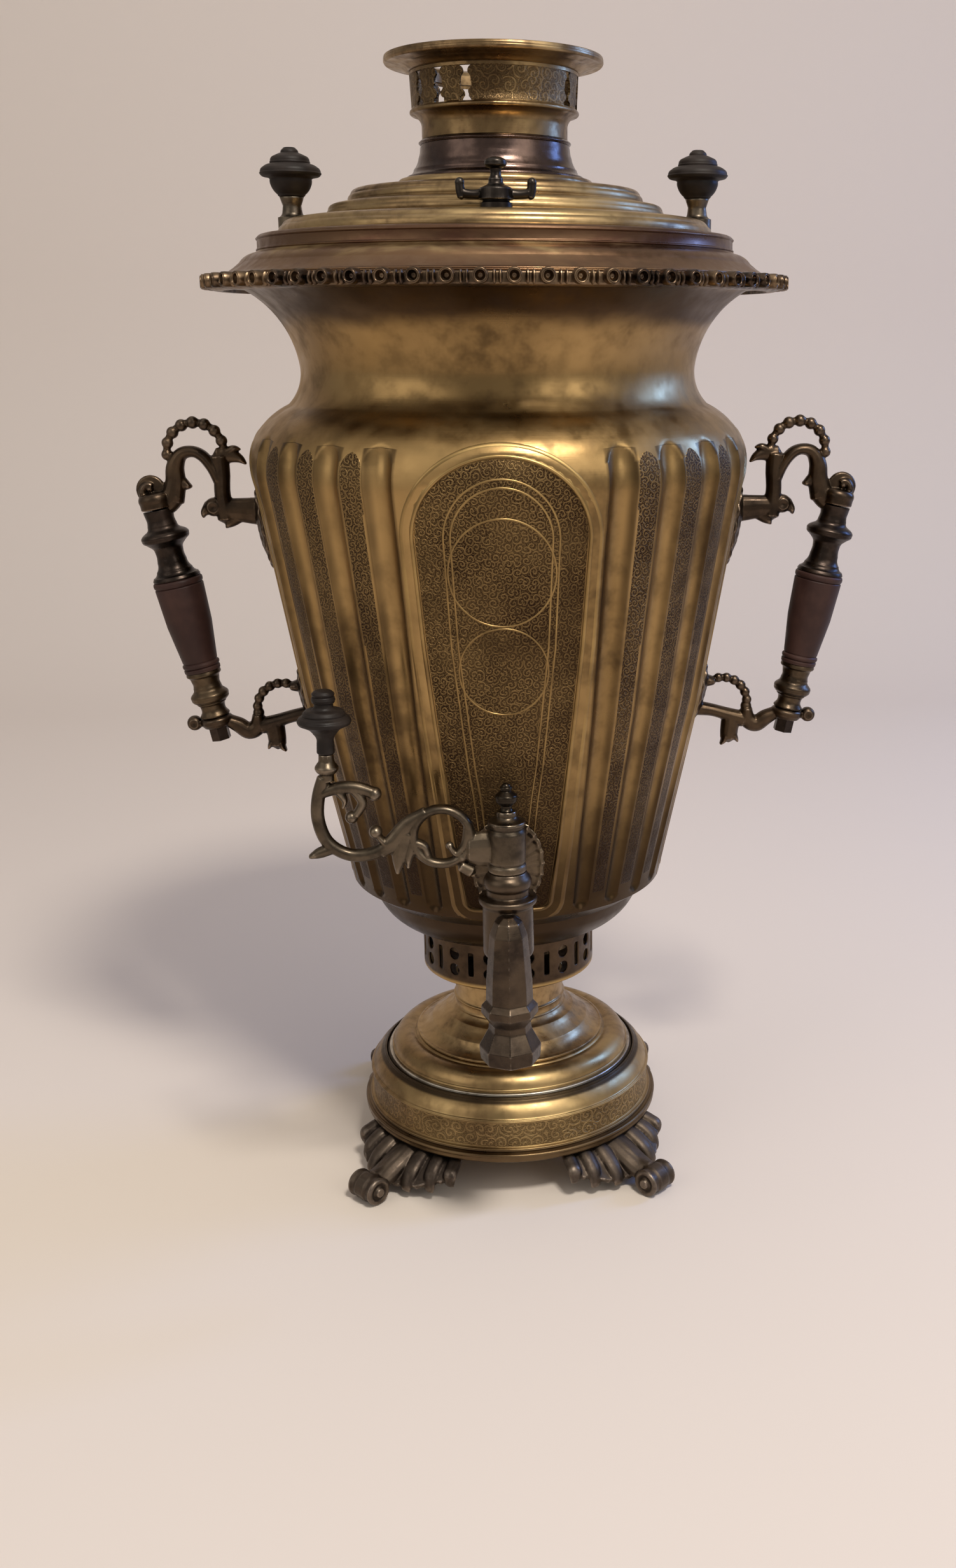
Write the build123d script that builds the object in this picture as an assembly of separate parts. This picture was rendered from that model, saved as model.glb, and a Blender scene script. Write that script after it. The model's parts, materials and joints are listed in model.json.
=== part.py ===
from build123d import *
import math
import os

os.makedirs("parts", exist_ok=True)

# Charcoal samovar: a fluted brass urn on a pierced collar and four scroll feet, with a plug tap,
# two side handles, a stepped lift-off lid with a turning steam vent, and a pierced teapot crown.
#
# Millimetres, +Z up. The origin is on the urn's axis, at the plane that the feet stand on.
# The tap faces -Y and the handles stand out along X.

# --- Sheet, gaps and fits -------------------------------------------------------------------
wall = 1.0                 # urn, lid and crown sheet at its thinnest
panel_recess = 1.0         # depth of the sunk engraved panels
sheet = 1.5                # heavier sheet: base, collar and fire tube
solder_gap = 0.05          # between pieces that are soldered or clamped to each other
seat_gap = 0.2             # under pieces that only rest and lift off
sleeve_gap = 0.4           # around the crown's sleeve and the lid's spigot
plug_gap = 0.06            # radial running fit of the tap plug in its barrel
rod_gap = 0.1              # radial, around rods and screws in plain holes

# --- Heights, from the feet up --------------------------------------------------------------
foot_height = 22.0
drum_height = 41.5
pedestal_height = 33.5
cup_height = 6.5           # the cup that widens from the stem to the pierced collar
collar_height = 27.0
bowl_height = 28.0
wall_height = 221.5
neck_rise = 40.0           # shoulder to the narrowest point of the neck
flare_rise = 36.5          # narrowest point of the neck to the lip
rim_height = 4.5           # rim casting above the lip's underside

z_pedestal = foot_height + drum_height
z_cup = z_pedestal + pedestal_height
z_collar = z_cup + cup_height
z_body = z_collar + collar_height
z_corner = z_body + bowl_height
z_shoulder = z_corner + wall_height
z_neck = z_shoulder + neck_rise
z_lip = z_neck + flare_rise
z_rim = z_lip + rim_height
z_lid = z_rim + seat_gap

# --- Urn -------------------------------------------------------------------------------------
bowl_seat_r = 47.5         # flat underside of the bowl
bowl_r = 69.6              # widest part of the plain bowl, under the fluted wall
corner_r = 82.6            # foot of the fluted wall
wall_top_r = 123.3
shoulder_r = 119.0
neck_top_r = 103.6         # where the shoulder turns into the neck
neck_r = 97.0
flare_r = 122.0
lip_r = 131.0
wall_bow = 2.5             # the wall swells by this much between its ends
wall_head = 14.0           # height below the shoulder where the fluted wall ends

flute_angles = (25.7, 38.6, 51.4, 64.3)      # in each quarter, between two panels
flute_top_width = 14.6
flute_top_depth = 3.0
flute_bottom_width = 9.0
flute_bottom_depth = 1.8
flute_base = 3.0           # above the corner ring

panel_count = 4
panel_bottom_half = 21.0
panel_middle_half = 33.5    # at the height of the middle of the wall
panel_top_half = 38.5
panel_base = 3.0           # above the corner ring
panel_spring = 35.0        # below the shoulder, where the arch springs
panel_arch = 40.0

# --- Rim casting ------------------------------------------------------------------------------
rim_outer_r = 138.0
rim_inner_r = 121.0
rim_drop = 1.5             # below the lip
bead_count = 64
bead_r = 3.3
bead_reach_r = 141.5

# --- Fire tube and grate ----------------------------------------------------------------------
tube_base_r = 40.0
tube_top_r = 31.0
tube_lip = 11.5            # below the bowl
tube_straight = 19.5       # plain length at the foot of the tube
tube_mouth = 48.0          # plain length at the top of the tube
tube_over_collar = 8.0     # above the lid's collar
grate_ledge_r = 33.0
grate_thickness = 2.5
grate_slots = 7
grate_slot_width = 4.0

# --- Pierced collar, pedestal and base --------------------------------------------------------
collar_r = 46.5
cup_r = 44.2
stem_r = 29.7
stem_height = 16.5
pedestal_r = 51.5
drum_r = 77.0
drum_lip_r = 81.5
drum_torus_r = 65.2
drum_groove_r = 67.2
collar_units = 14
collar_hole_r = 3.1
collar_slot_width = 3.0
collar_slot_height = 13.0

# --- Feet ---------------------------------------------------------------------------------------
foot_count = 4
toe_centre_r = 106.5
toe_r = 7.6
toe_flat = 0.3             # filed off the toe's underside
toe_width = 17.0
foot_width = 15.0
foot_spread = 24.0         # degrees, each side of the foot's middle
foot_pad_height = 3.0
foot_pad_inner_r = 58.0
foot_pad_half_width = 9.0
foot_screw_r = 2.0
foot_screw_ring_r = 62.5
base_plate_bore_r = 32.0

# --- Lid ----------------------------------------------------------------------------------------
lid_r = 130.5
lid_band_r = 114.4
lid_band_base = 11.8       # above the lid's edge
lid_band_height = 5.5
lid_steps = (              # edge radius, top radius and top height of each step
    (104.0, 94.0, 26.6),
    (80.9, 75.3, 33.3),
    (70.6, 63.4, 40.5),
    (46.9, 44.5, 44.8),
)
lid_hole_r = 38.0
spigot_r = 108.0
spigot_depth = 12.0
collar_foot_r = 42.5
collar_waist_r = 35.9
collar_mouth_r = 34.2
lid_collar_height = 17.5

knob_centre_r = 97.5
knob_r = 14.4
knob_stem_r = 4.8
knob_height = 22.0
knob_stem_height = 10.5
knob_screw_r = 1.5
vent_centre_r = 88.0
vent_post_r = 2.2
vent_seat_r = 7.0
vent_reach = 18.0

# --- Crown ----------------------------------------------------------------------------------------
crown_foot_r = 34.6
crown_foot_height = 5.8
crown_gallery_r = 39.9
crown_gallery_height = 23.45
crown_cove_height = 5.0
crown_rim_r = 51.6
crown_rim_height = 4.0
crown_flare_height = 3.0
crown_bore_r = 38.0
sleeve_depth = 17.0
window_groups = 3
windows_in_group = 3
window_pitch = 21.0        # degrees
window_height = 14.5
window_width = 6.0
window_first_angle = -40.0      # middle of the first group, from -Y

# --- Tap ------------------------------------------------------------------------------------------
tap_z = 173.0              # where the water passage crosses the plug's axis
tap_reach = 25.9           # urn wall to the plug's axis
barrel_r = 12.0
barrel_rise = 22.0
barrel_drop = 21.0
barrel_ring_r = 13.3
plug_top_r = 8.4
plug_bottom_r = 6.6
plug_tail = 2.0
passage_r = 4.0
shank_r = 8.5
shank_tilt = 22.0          # degrees below level, going outwards
shank_inside = 11.0        # threaded length inside the urn
tap_nut_r = 12.0
tap_nut_thickness = 5.0
tap_washer_thickness = 2.5
spout_offset = 14.0        # plug axis to spout axis
spout_bore_r = 5.0
spout_length = 67.5        # below the water passage
escutcheon_z = 190.0
escutcheon_half_width = 18.0
escutcheon_half_height = 25.5
escutcheon_thickness = 3.0

# --- Tap key ----------------------------------------------------------------------------------------
head_r = 9.0
head_height = 20.0
branch_thickness = 6.0
branch_ring_x = 30.0
branch_ring_r = 15.4
branch_ring_bore_r = 11.6
branch_ring_rise = 17.4
key_post_x = 81.5
key_knob_r = 12.0

# --- Handles ----------------------------------------------------------------------------------------
upper_bracket_z = 341.0
lower_bracket_z = 254.0
upper_socket = (54.4, 9.9)     # grip socket, out and up from the upper bracket's middle
lower_socket = (48.5, -9.9)
casting_thickness = 8.0
bead_arch_beads = 9
upper_ferrule_length = 35.5
lower_ferrule_length = 24.5
grip_top_r = 12.3
grip_bottom_r = 8.8
rod_r = 2.5
rod_nut_r = 5.2
rod_nut_height = 7.0
saucer_r = 8.2
saucer_thickness = 6.0


# --- Outline helpers -----------------------------------------------------------------------------------

def chord(before, point):
    """Start, end and right-hand normal of the step between two outline points."""
    start, end = Vector(before[0], 0, before[1]), Vector(point[0], 0, point[1])
    return start, end, Vector(0, 1, 0).cross(end - start).normalized()


def outline(points):
    """Closed XZ face. A point is (x, z), or (x, z, bulge) when an arc leads to it.

    A positive bulge swells to the right of the travel, which is outwards on an anticlockwise
    outline.
    """
    edges = []
    for before, point in zip(points, points[1:] + points[:1]):
        start, end, normal = chord(before, point)
        if len(point) > 2:
            middle = (start + end) / 2 + normal * point[2]
            edges.append(Edge.make_three_point_arc(start, middle, end))
        else:
            edges.append(Edge.make_line(start, end))
    return Face(Wire(edges))


def end_normals(before, point):
    """Right-hand normals at the two ends of a step, with its bulge."""
    start, end, normal = chord(before, point)
    bulge = point[2] if len(point) > 2 else 0.0
    turn = math.degrees(2 * math.atan2(2 * bulge, (end - start).length))
    return normal.rotate(Axis.Y, turn), normal.rotate(Axis.Y, -turn)


def inset(points, depth):
    """An open outline moved inwards, to the left of its travel."""
    steps = [end_normals(before, point) for before, point in zip(points, points[1:])]
    moved = []
    for place, point in enumerate(points):
        leaving = steps[min(place, len(steps) - 1)][0 if place < len(steps) else 1]
        arriving = steps[place - 1][1] if place else leaving
        shift = (leaving + arriving) * (depth / (1 + leaving.dot(arriving)))
        corner = (point[0] - shift.X, point[1] - shift.Z)
        if len(point) > 2:
            start, end, _ = chord(points[place - 1], point)
            old_length = (end - start).length
            new_length = math.dist(moved[-1][:2], corner)
            corner += (point[2] * new_length / old_length,)
        moved.append(corner)
    return moved


def backwards(points):
    """The same open outline travelled the other way."""
    turned_round = []
    for place in range(len(points) - 1, -1, -1):
        after = points[place + 1] if place + 1 < len(points) else ()
        bulge = (-after[2],) if len(after) > 2 else ()
        turned_round.append(tuple(points[place][:2]) + bulge)
    return turned_round


def turned(points):
    """Solid of revolution about Z."""
    return revolve(outline(points), Axis.Z)


def spun(points, thickness):
    """Sheet metal spun to an open outline, thickened inwards."""
    return turned(points + backwards(inset(points, thickness)))


def rod_between(start, end, radius):
    """Round bar from start to end."""
    start, end = Vector(start), Vector(end)
    place = Plane(origin=start, z_dir=end - start)
    return place * Cylinder(radius, (end - start).length, align=(Align.CENTER, Align.CENTER, Align.MIN))


def limb(stations):
    """XZ strip that follows (x, z, half-width) stations on smooth curves."""
    path = [Vector(x, 0, z) for x, z, _ in stations]
    left, right = [], []
    for place, station in enumerate(stations):
        along = path[min(place + 1, len(path) - 1)] - path[max(place - 1, 0)]
        across = Vector(0, 1, 0).cross(along.normalized()) * station[2]
        left.append(path[place] - across)
        right.append(path[place] + across)
    edges = [
        Edge.make_spline(right),
        Edge.make_line(right[-1], left[-1]),
        Edge.make_spline(left[::-1]),
        Edge.make_line(left[0], right[0]),
    ]
    return Face(Wire(edges))


def disc(x, z, radius):
    """XZ disc."""
    return Plane(origin=(x, 0, z), z_dir=(0, -1, 0)) * Circle(radius)


def bead_arch(x, z, mean_r, bead_radius, core, start, end, count):
    """XZ strip of round beads strung on an arc between two angles."""
    pitch = (end - start) / (count - 1)
    spots = [math.radians(start + pitch * place) for place in range(count)]
    centres = [(x + mean_r * math.cos(spot), z + mean_r * math.sin(spot)) for spot in spots]
    beads = [disc(cx, cz, bead_radius) for cx, cz in centres]
    cores = [limb([(*a, core), (*b, core)]) for a, b in zip(centres, centres[1:])]
    return beads + cores


def cast(faces, thickness):
    """Flat casting from overlapping XZ faces, centred on Y = 0."""
    blanks = [extrude(face, thickness / 2, dir=(0, 1, 0), both=True) for face in faces]
    return blanks[0].fuse(*blanks[1:]).clean()


def around(shape, count, first=0.0):
    """Copies of a shape turned about Z."""
    return [Rot(0, 0, first + 360 * place / count) * shape for place in range(count)]


# --- Urn -------------------------------------------------------------------------------------------------

def wall_radius(z):
    """Outer radius of the urn's bowed wall."""
    foot, head = Vector(corner_r, 0, z_corner), Vector(wall_top_r, 0, z_shoulder - wall_head)
    run = head - foot
    bend_r = run.length ** 2 / (8 * wall_bow) + wall_bow / 2
    centre = (foot + head) / 2 + Vector(0, 1, 0).cross(run).normalized() * (wall_bow - bend_r)
    return centre.X + math.sqrt(bend_r ** 2 - (z - centre.Z) ** 2)


urn_outline = [
    (bowl_seat_r, z_body),
    (bowl_r, z_corner - 13.0, 3.5),
    (bowl_r + 1.5, z_corner - 8.0),
    (corner_r, z_corner),
    (wall_top_r, z_shoulder - wall_head, wall_bow),
    (shoulder_r, z_shoulder + 10, 2.6),
    (neck_top_r, z_shoulder + 22.6, 1.3),
    (neck_r, z_neck, -2.1),
    (flare_r, z_lip - 0.5, -5.4),
    (lip_r, z_lip),
]
skin = wall + panel_recess


def flute(angle, swell):
    """Concave channel with a round head, cut along the urn's wall; swell thickens the cutter."""
    ends = []
    for share in (0.0, 0.5, 1.0):
        z = z_corner + flute_base + share * (wall_height - flute_base)
        width = flute_bottom_width + share * (flute_top_width - flute_bottom_width)
        depth = flute_bottom_depth + share * (flute_top_depth - flute_bottom_depth)
        radius = width ** 2 / (8 * depth) + depth / 2
        ends.append((Vector(wall_radius(z) + radius - depth, 0, z), radius + swell))
    channel = Pos(*ends[-1][0]) * Sphere(ends[-1][1])
    for (low, low_r), (high, high_r) in zip(ends, ends[1:]):
        place = Plane(origin=low, z_dir=high - low)
        channel += place * Cone(low_r, high_r, (high - low).length, align=(Align.CENTER, Align.CENTER, Align.MIN))
    return Rot(0, 0, angle) * channel


def quarter_flutes(swell):
    quarters = range(0, 360, 90)
    return [flute(quarter + angle, swell) for quarter in quarters for angle in flute_angles]


def panel_prism():
    """Arched front panel, as a bar that reaches out through the wall along -Y."""
    middle = z_corner + wall_height / 2
    arch = outline([
        (-panel_bottom_half, z_corner + panel_base, 0.6),
        (panel_bottom_half, z_corner + panel_base),
        (panel_middle_half, middle, 0.6),
        (panel_top_half, z_shoulder - panel_spring, 0.6),
        (-panel_top_half, z_shoulder - panel_spring, panel_arch),
        (-panel_middle_half, middle, 0.6),
    ])
    return extrude(arch, 2 * lip_r, dir=(0, -1, 0))


def outside_of(points):
    """Everything outside an open outline, out to well past the lip."""
    return turned(backwards(points) + [(2 * lip_r, points[0][1]), (2 * lip_r, points[-1][1])])


def inside_of(points):
    """Everything from the axis out to an open outline."""
    return turned([(0, points[0][1])] + points + [(0, points[-1][1])])


wall_outline = urn_outline[3:7]
panel_surface = inset(wall_outline, panel_recess)
seat_core = inside_of(inset(wall_outline, panel_recess - solder_gap))


def make_urn():
    lip_top = z_lip + skin
    outer = inside_of(urn_outline + [(lip_r, lip_top)])
    sunk = outside_of(panel_surface)
    panels = [panel & sunk for panel in around(panel_prism(), panel_count)]
    outer = outer.cut(*quarter_flutes(0), *panels)
    hollow = inset(urn_outline, skin)
    hollow[-1] = (lip_r + skin, lip_top)
    inner = inside_of(hollow + [(lip_r + skin, lip_top + skin)]).cut(*quarter_flutes(wall))
    base_hole = rod_between((0, 0, z_body - 1), (0, 0, z_body + 2 * skin), tube_base_r + solder_gap)
    return outer.cut(inner, base_hole, tap_hole(shank_r + solder_gap))


# --- Rim, fire tube, grate ------------------------------------------------------------------------------

def make_rim():
    """Beaded casting soldered over the urn's lip."""
    seat = z_lip + skin + solder_gap
    low = z_lip - rim_drop
    ring = turned([
        (lip_r + solder_gap, low),
        (rim_outer_r - 1, low),
        (rim_outer_r - 1, z_rim, 1.2),
        (rim_inner_r, z_rim),
        (rim_inner_r, seat),
        (lip_r + solder_gap, seat),
    ])
    middle = (low + z_rim) / 2
    bead = rod_between((rim_outer_r - 3, 0, middle), (bead_reach_r, 0, middle), bead_r)
    return ring.fuse(*around(bead, bead_count))


z_tube = z_body - tube_lip
z_lid_collar = z_lid + lid_steps[-1][2] + solder_gap
z_crown = z_lid_collar + lid_collar_height + seat_gap
z_tube_top = z_crown + tube_over_collar


def make_fire_tube():
    """Charcoal tube and chimney, with an inward ledge at its foot for the grate."""
    shoulder_z = z_tube + tube_straight
    mouth_z = z_tube_top - tube_mouth
    return turned([
        (grate_ledge_r, z_tube),
        (tube_base_r, z_tube),
        (tube_base_r, shoulder_z),
        (tube_top_r, mouth_z),
        (tube_top_r, z_tube_top),
        (tube_top_r - sheet, z_tube_top),
        (tube_top_r - sheet, mouth_z),
        (tube_base_r - sheet, shoulder_z),
        (tube_base_r - sheet, z_tube + sheet),
        (grate_ledge_r, z_tube + sheet),
    ])


def make_grate():
    """Cast disc that lies on the ledge, slotted for the draught."""
    base = z_tube + sheet + solder_gap
    radius = tube_base_r - sheet - sleeve_gap
    plate = Pos(0, 0, base) * Cylinder(radius, grate_thickness, align=(Align.CENTER, Align.CENTER, Align.MIN))
    pitch = 2 * (radius - grate_slot_width) / grate_slots
    slots = []
    for place in range(grate_slots):
        y = pitch * (place - (grate_slots - 1) / 2)
        length = 2 * math.sqrt((radius - grate_slot_width) ** 2 - y ** 2)
        slots.append(Pos(0, y, base) * Box(length, grate_slot_width, 4 * grate_thickness))
    return plate.cut(*slots)


# --- Pierced collar, pedestal, base ----------------------------------------------------------------------

def make_collar():
    """Cup and collar that carry the urn, pierced with round pairs and slots for the draught."""
    shell = spun([
        (stem_r, z_cup),
        (stem_r + 7.3, z_cup + 0.5 * cup_height, 0.4),
        (cup_r, z_collar, 0.6),
        (collar_r, z_collar + 0.8),
        (collar_r, z_body),
    ], sheet)
    inner, outer = collar_r - 3 * sheet, collar_r + sheet
    middle = z_collar + collar_height / 2
    pair_rise = collar_hole_r * 1.45
    cutters = []
    for rise in (-pair_rise, pair_rise):
        hole = rod_between((inner, 0, middle + rise), (outer, 0, middle + rise), collar_hole_r)
        cutters += around(hole, collar_units)
    slot = Pos((inner + outer) / 2, 0, middle) * Box(outer - inner, collar_slot_width, collar_slot_height)
    cutters += around(slot, collar_units, 180 / collar_units)
    return shell.cut(*cutters)


def make_pedestal():
    """Stem that flares to the rim of the base drum."""
    return spun([
        (pedestal_r, z_pedestal),
        (pedestal_r, z_pedestal + 1.2),
        (stem_r, z_cup - stem_height, -1.5),
        (stem_r, z_cup),
    ], sheet)


def make_drum():
    """Base drum: lip, upright engraved band, sloping shoulder, groove and half-round torus."""
    band_low, band_high = foot_height + 7.5, foot_height + 21.5
    return spun([
        (drum_lip_r - 1.8, foot_height),
        (drum_lip_r - 1.5, foot_height + 4.5, 1.6),
        (drum_r, band_low),
        (drum_r, band_high),
        (drum_r - 1, band_high + 1.2),
        (drum_groove_r + 2.5, z_pedestal - 11.0, 1.0),
        (drum_groove_r, z_pedestal - 11.0),
        (drum_torus_r, z_pedestal - 8.5),
        (pedestal_r + 1.5, z_pedestal - 1.0, 2.6),
        (pedestal_r + 0.5, z_pedestal),
        (pedestal_r - 5.0, z_pedestal),
    ], sheet)


def make_base_plate():
    """Ring under the drum that carries the feet, open in the middle for draught and ash."""
    radius = drum_lip_r - 1.8 - sheet - solder_gap
    low = (0, 0, foot_height)
    plate = rod_between(low, (0, 0, foot_height + sheet), radius)
    plate = plate.cut(rod_between((0, 0, 0), (0, 0, 2 * foot_height), base_plate_bore_r))
    hole = rod_between((foot_screw_ring_r, 0, 0), (foot_screw_ring_r, 0, 2 * foot_height), foot_screw_r + rod_gap)
    return plate.cut(*around(hole, foot_count, 45))


# --- Feet -------------------------------------------------------------------------------------------------

def make_foot():
    """Cast scroll foot along +X: pad, S-shaped limb, rolled toe and a flared acanthus wing."""
    pad_z = foot_height - foot_pad_height
    pad = Pos((foot_pad_inner_r + drum_lip_r) / 2 - 2, 0, pad_z + foot_pad_height / 2) * Box(
        drum_lip_r - foot_pad_inner_r - 4, 2 * foot_pad_half_width, foot_pad_height)
    toe_z = toe_r - toe_flat
    leg = extrude(limb([
        (drum_lip_r - 14, pad_z - 1.5, 4.5),
        (drum_lip_r, foot_height - 8, 5.2),
        (drum_lip_r + 10, 11.0, 4.4),
        (toe_centre_r - 3, toe_z + 1.5, 4.4),
    ]), foot_width / 2, dir=(0, 1, 0), both=True)
    toe = rod_between((toe_centre_r, -toe_width / 2, toe_z), (toe_centre_r, toe_width / 2, toe_z), toe_r)
    eye = rod_between((toe_centre_r, -toe_width / 2 - 1.5, toe_z), (toe_centre_r, toe_width / 2 + 1.5, toe_z), 2.6)
    wing = revolve(outline([
        (drum_lip_r - 5.5, pad_z),
        (drum_lip_r + 12.5, 6.5, 1.5),
        (drum_lip_r + 14.0, 8.5),
        (drum_lip_r - 1.5, foot_height, -1.5),
        (drum_lip_r - 5.5, foot_height),
    ]), Axis.Z, revolution_arc=2 * foot_spread)
    wing = Rot(0, 0, -foot_spread) * wing
    notches = []
    for angle, reach in ((9.5, 15.5), (16.5, 12.0), (foot_spread, 10.5)):
        for side in (-angle, angle):
            notch = rod_between((drum_lip_r + reach, 0, 0), (drum_lip_r + reach, 0, foot_height - 0.5), 5.2)
            notches.append(Rot(0, 0, side) * notch)
    wing = wing.cut(*notches)
    screw_hole = rod_between(
        (foot_screw_ring_r, 0, 0), (foot_screw_ring_r, 0, 2 * foot_height), foot_screw_r + rod_gap)
    below = Pos(0, 0, -foot_height) * Box(8 * drum_r, 8 * drum_r, 2 * foot_height)
    return wing.fuse(pad, leg, toe, eye).cut(screw_hole, below)


def make_foot_screw():
    """Cheese-head screw up through the pad, with a nut above the plate."""
    x = foot_screw_ring_r
    pad_z = foot_height - foot_pad_height
    plate_top = foot_height + sheet
    shank = rod_between((x, 0, pad_z), (x, 0, plate_top + 4.5), foot_screw_r)
    head = rod_between((x, 0, pad_z - 2.6), (x, 0, pad_z), 2 * foot_screw_r)
    nut = Pos(x, 0, plate_top) * extrude(RegularPolygon(2 * foot_screw_r, 6), 3.0)
    return shank.fuse(head, nut)


# --- Lid -----------------------------------------------------------------------------------------------------

def lid_outline():
    """Lid from its edge up over the stepped dome to the hole in the middle."""
    band = z_lid + lid_band_base
    points = [
        (lid_r, z_lid),
        (lid_r, z_lid + 1.4),
        (lid_band_r, band),
        (lid_band_r - 0.6, band + lid_band_height),
        (lid_band_r - 4.0, band + lid_band_height + 1.6, 0.9),
    ]
    for edge_r, top_r, rise in lid_steps:
        points += [(edge_r, points[-1][1] + 0.8), (top_r, z_lid + rise, (edge_r - top_r) * 0.17)]
    return points + [(lid_hole_r, z_lid + lid_steps[-1][2])]


def make_lid():
    """Stepped dome with a spigot that drops inside the urn's mouth."""
    shell = spun(lid_outline(), wall)
    low = z_lid + lid_band_base - wall
    spigot = turned([
        (spigot_r - wall, z_lid - spigot_depth),
        (spigot_r, z_lid - spigot_depth),
        (spigot_r, low + 8),
        (spigot_r - wall, low + 8),
    ])
    holes = [
        rod_between((x, y, z_lid), (x, y, z_crown), radius)
        for x, y, radius in (
            (knob_centre_r, 0, knob_screw_r + rod_gap),
            (-knob_centre_r, 0, knob_screw_r + rod_gap),
            (0, -vent_centre_r, vent_post_r + rod_gap),
            (0, steam_offset - vent_centre_r, steam_hole_r),
        )
    ]
    return shell.fuse(spigot).cut(*holes)


def make_lid_collar():
    """Dark copper neck on the lid, around the chimney."""
    top = z_lid_collar + lid_collar_height
    flank = [
        (collar_foot_r - 2.0, z_lid_collar + wall),
        (collar_waist_r + 2.5, z_lid_collar + 4.0, -0.4),
        (collar_waist_r, z_lid_collar + 10.0, -0.4),
        (collar_mouth_r, top - 1.5),
        (collar_mouth_r, top),
    ]
    lining = inset(flank, wall)
    foot = [(collar_foot_r, z_lid_collar), (collar_foot_r, z_lid_collar + wall)]
    return turned(foot + flank + backwards(lining) + [(lining[0][0], z_lid_collar)])


def above_lid(shape):
    """The part of a shape that clears the lid's outer face by a solder gap."""
    return shape.cut(inside_of(inset(lid_outline(), -solder_gap)))


def below_lid(shape):
    """The part of a shape that clears the lid's inner face by a solder gap."""
    return shape & inside_of(inset(lid_outline()[1:], wall + solder_gap))


z_knob_stem = z_lid + lid_steps[0][2] + solder_gap
z_knob = z_knob_stem + knob_stem_height


def make_knob_stem():
    """Turned brass stem on a foot fitted to the lid, with a screw below it and a tenon above it."""
    r = knob_stem_r
    stem = turned([
        (0, z_knob_stem - 8.0),
        (r + 2.2, z_knob_stem - 8.0),
        (r + 2.2, z_knob_stem + 1.2),
        (r, z_knob_stem + 3.5, -0.5),
        (r - 0.4, z_knob_stem + 6.5),
        (r + 1.0, z_knob),
        (knob_screw_r, z_knob),
        (knob_screw_r, z_knob + 8.0),
        (0, z_knob + 8.0),
    ])
    stem = above_lid(Pos(knob_centre_r, 0, 0) * stem)
    screw = rod_between((0, 0, z_knob_stem - 8.0), (0, 0, z_knob_stem), knob_screw_r)
    return stem.fuse(Pos(knob_centre_r, 0, 0) * screw)


def make_knob():
    """Turned knob: a cup below, a sharp wide edge, and a stepped cap that rises to a tip."""
    z = z_knob + solder_gap
    cap = z + knob_height * 0.47
    body = turned([
        (0, z),
        (knob_stem_r + 0.8, z),
        (knob_r * 0.68, z + knob_height * 0.24, 0.8),
        (knob_r * 0.72, z + knob_height * 0.36),
        (knob_r * 0.9, z + knob_height * 0.38),
        (knob_r, cap, 0.5),
        (knob_r * 0.88, cap + knob_height * 0.15, 0.4),
        (knob_r * 0.66, cap + knob_height * 0.2),
        (knob_r * 0.6, cap + knob_height * 0.35, 0.5),
        (knob_r * 0.3, cap + knob_height * 0.41),
        (knob_r * 0.2, z + knob_height, 0.4),
        (0, z + knob_height),
    ])
    tenon = rod_between((0, 0, z - 1), (0, 0, z + 9.0), knob_screw_r + rod_gap)
    return Pos(knob_centre_r, 0, 0) * body.cut(tenon)


def make_knob_nut():
    """Nut under the lid on a knob's screw, with a packing fitted to the lid's inner face."""
    low = z_knob_stem - 7.0
    packing = below_lid(rod_between((knob_centre_r, 0, low + 2.2), (knob_centre_r, 0, z_knob_stem), 3.6))
    nut = Pos(knob_centre_r, 0, low) * extrude(RegularPolygon(3.4, 6), 2.4)
    hole = rod_between((knob_centre_r, 0, low - 1), (knob_centre_r, 0, z_knob_stem), knob_screw_r + solder_gap)
    return packing.fuse(nut).cut(hole)


z_vent = z_lid + lid_steps[0][2] + 0.8
vent_seat_height = 4.2
steam_hole_r = 0.9
steam_offset = vent_post_r + 1.7     # steam hole, from the vent's axis


def make_vent_seat():
    """Turned seat fitted to the lid, bored for the vent cap's post, with a steam hole beside it."""
    low, high = z_vent - 2.0, z_vent + vent_seat_height
    seat = Pos(0, -vent_centre_r, 0) * turned([
        (vent_post_r + plug_gap, low),
        (vent_seat_r, low),
        (vent_seat_r, z_vent + 1.2),
        (vent_seat_r - 1.2, z_vent + 2.0, -0.3),
        (vent_seat_r - 1.2, high),
        (vent_post_r + plug_gap, high),
    ])
    y = steam_offset - vent_centre_r
    return above_lid(seat).cut(rod_between((0, y, low), (0, y, high), steam_hole_r))


def make_vent_cap():
    """Cap that turns on the seat: post, hub, two horned wings and a mushroom knob."""
    z = z_vent + vent_seat_height + seat_gap / 2
    hub = turned([
        (0, z_vent - 4.5),
        (vent_post_r, z_vent - 4.5),
        (vent_post_r, z),
        (vent_seat_r - 0.4, z),
        (vent_seat_r - 0.4, z + 3.6),
        (vent_seat_r - 3.2, z + 5.5, -0.6),
        (2.3, z + 9.5, -0.3),
        (2.6, z + 11.0),
        (4.3, z + 12.2, 0.3),
        (3.6, z + 14.2, 0.6),
        (0.8, z + 15.3, 0.25),
        (0, z + 15.3),
    ])
    wing = limb([(4.0, z + 1.8, 1.7), (9.5, z + 1.6, 1.5), (13.5, z + 2.0, 1.8), (vent_reach, z + 4.6, 0.7)])
    drop = limb([(13.0, z + 1.8, 1.6), (14.8, z - 0.6, 1.2), (16.6, z - 1.6, 0.6)])
    wings = cast([wing, drop], 5.0)
    cap = hub.fuse(wings, mirror(wings, Plane.YZ))
    steam = rod_between((steam_offset, 0, z - 1), (steam_offset, 0, z + 9), steam_hole_r)
    return Pos(0, -vent_centre_r, 0) * cap.cut(steam)


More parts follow.
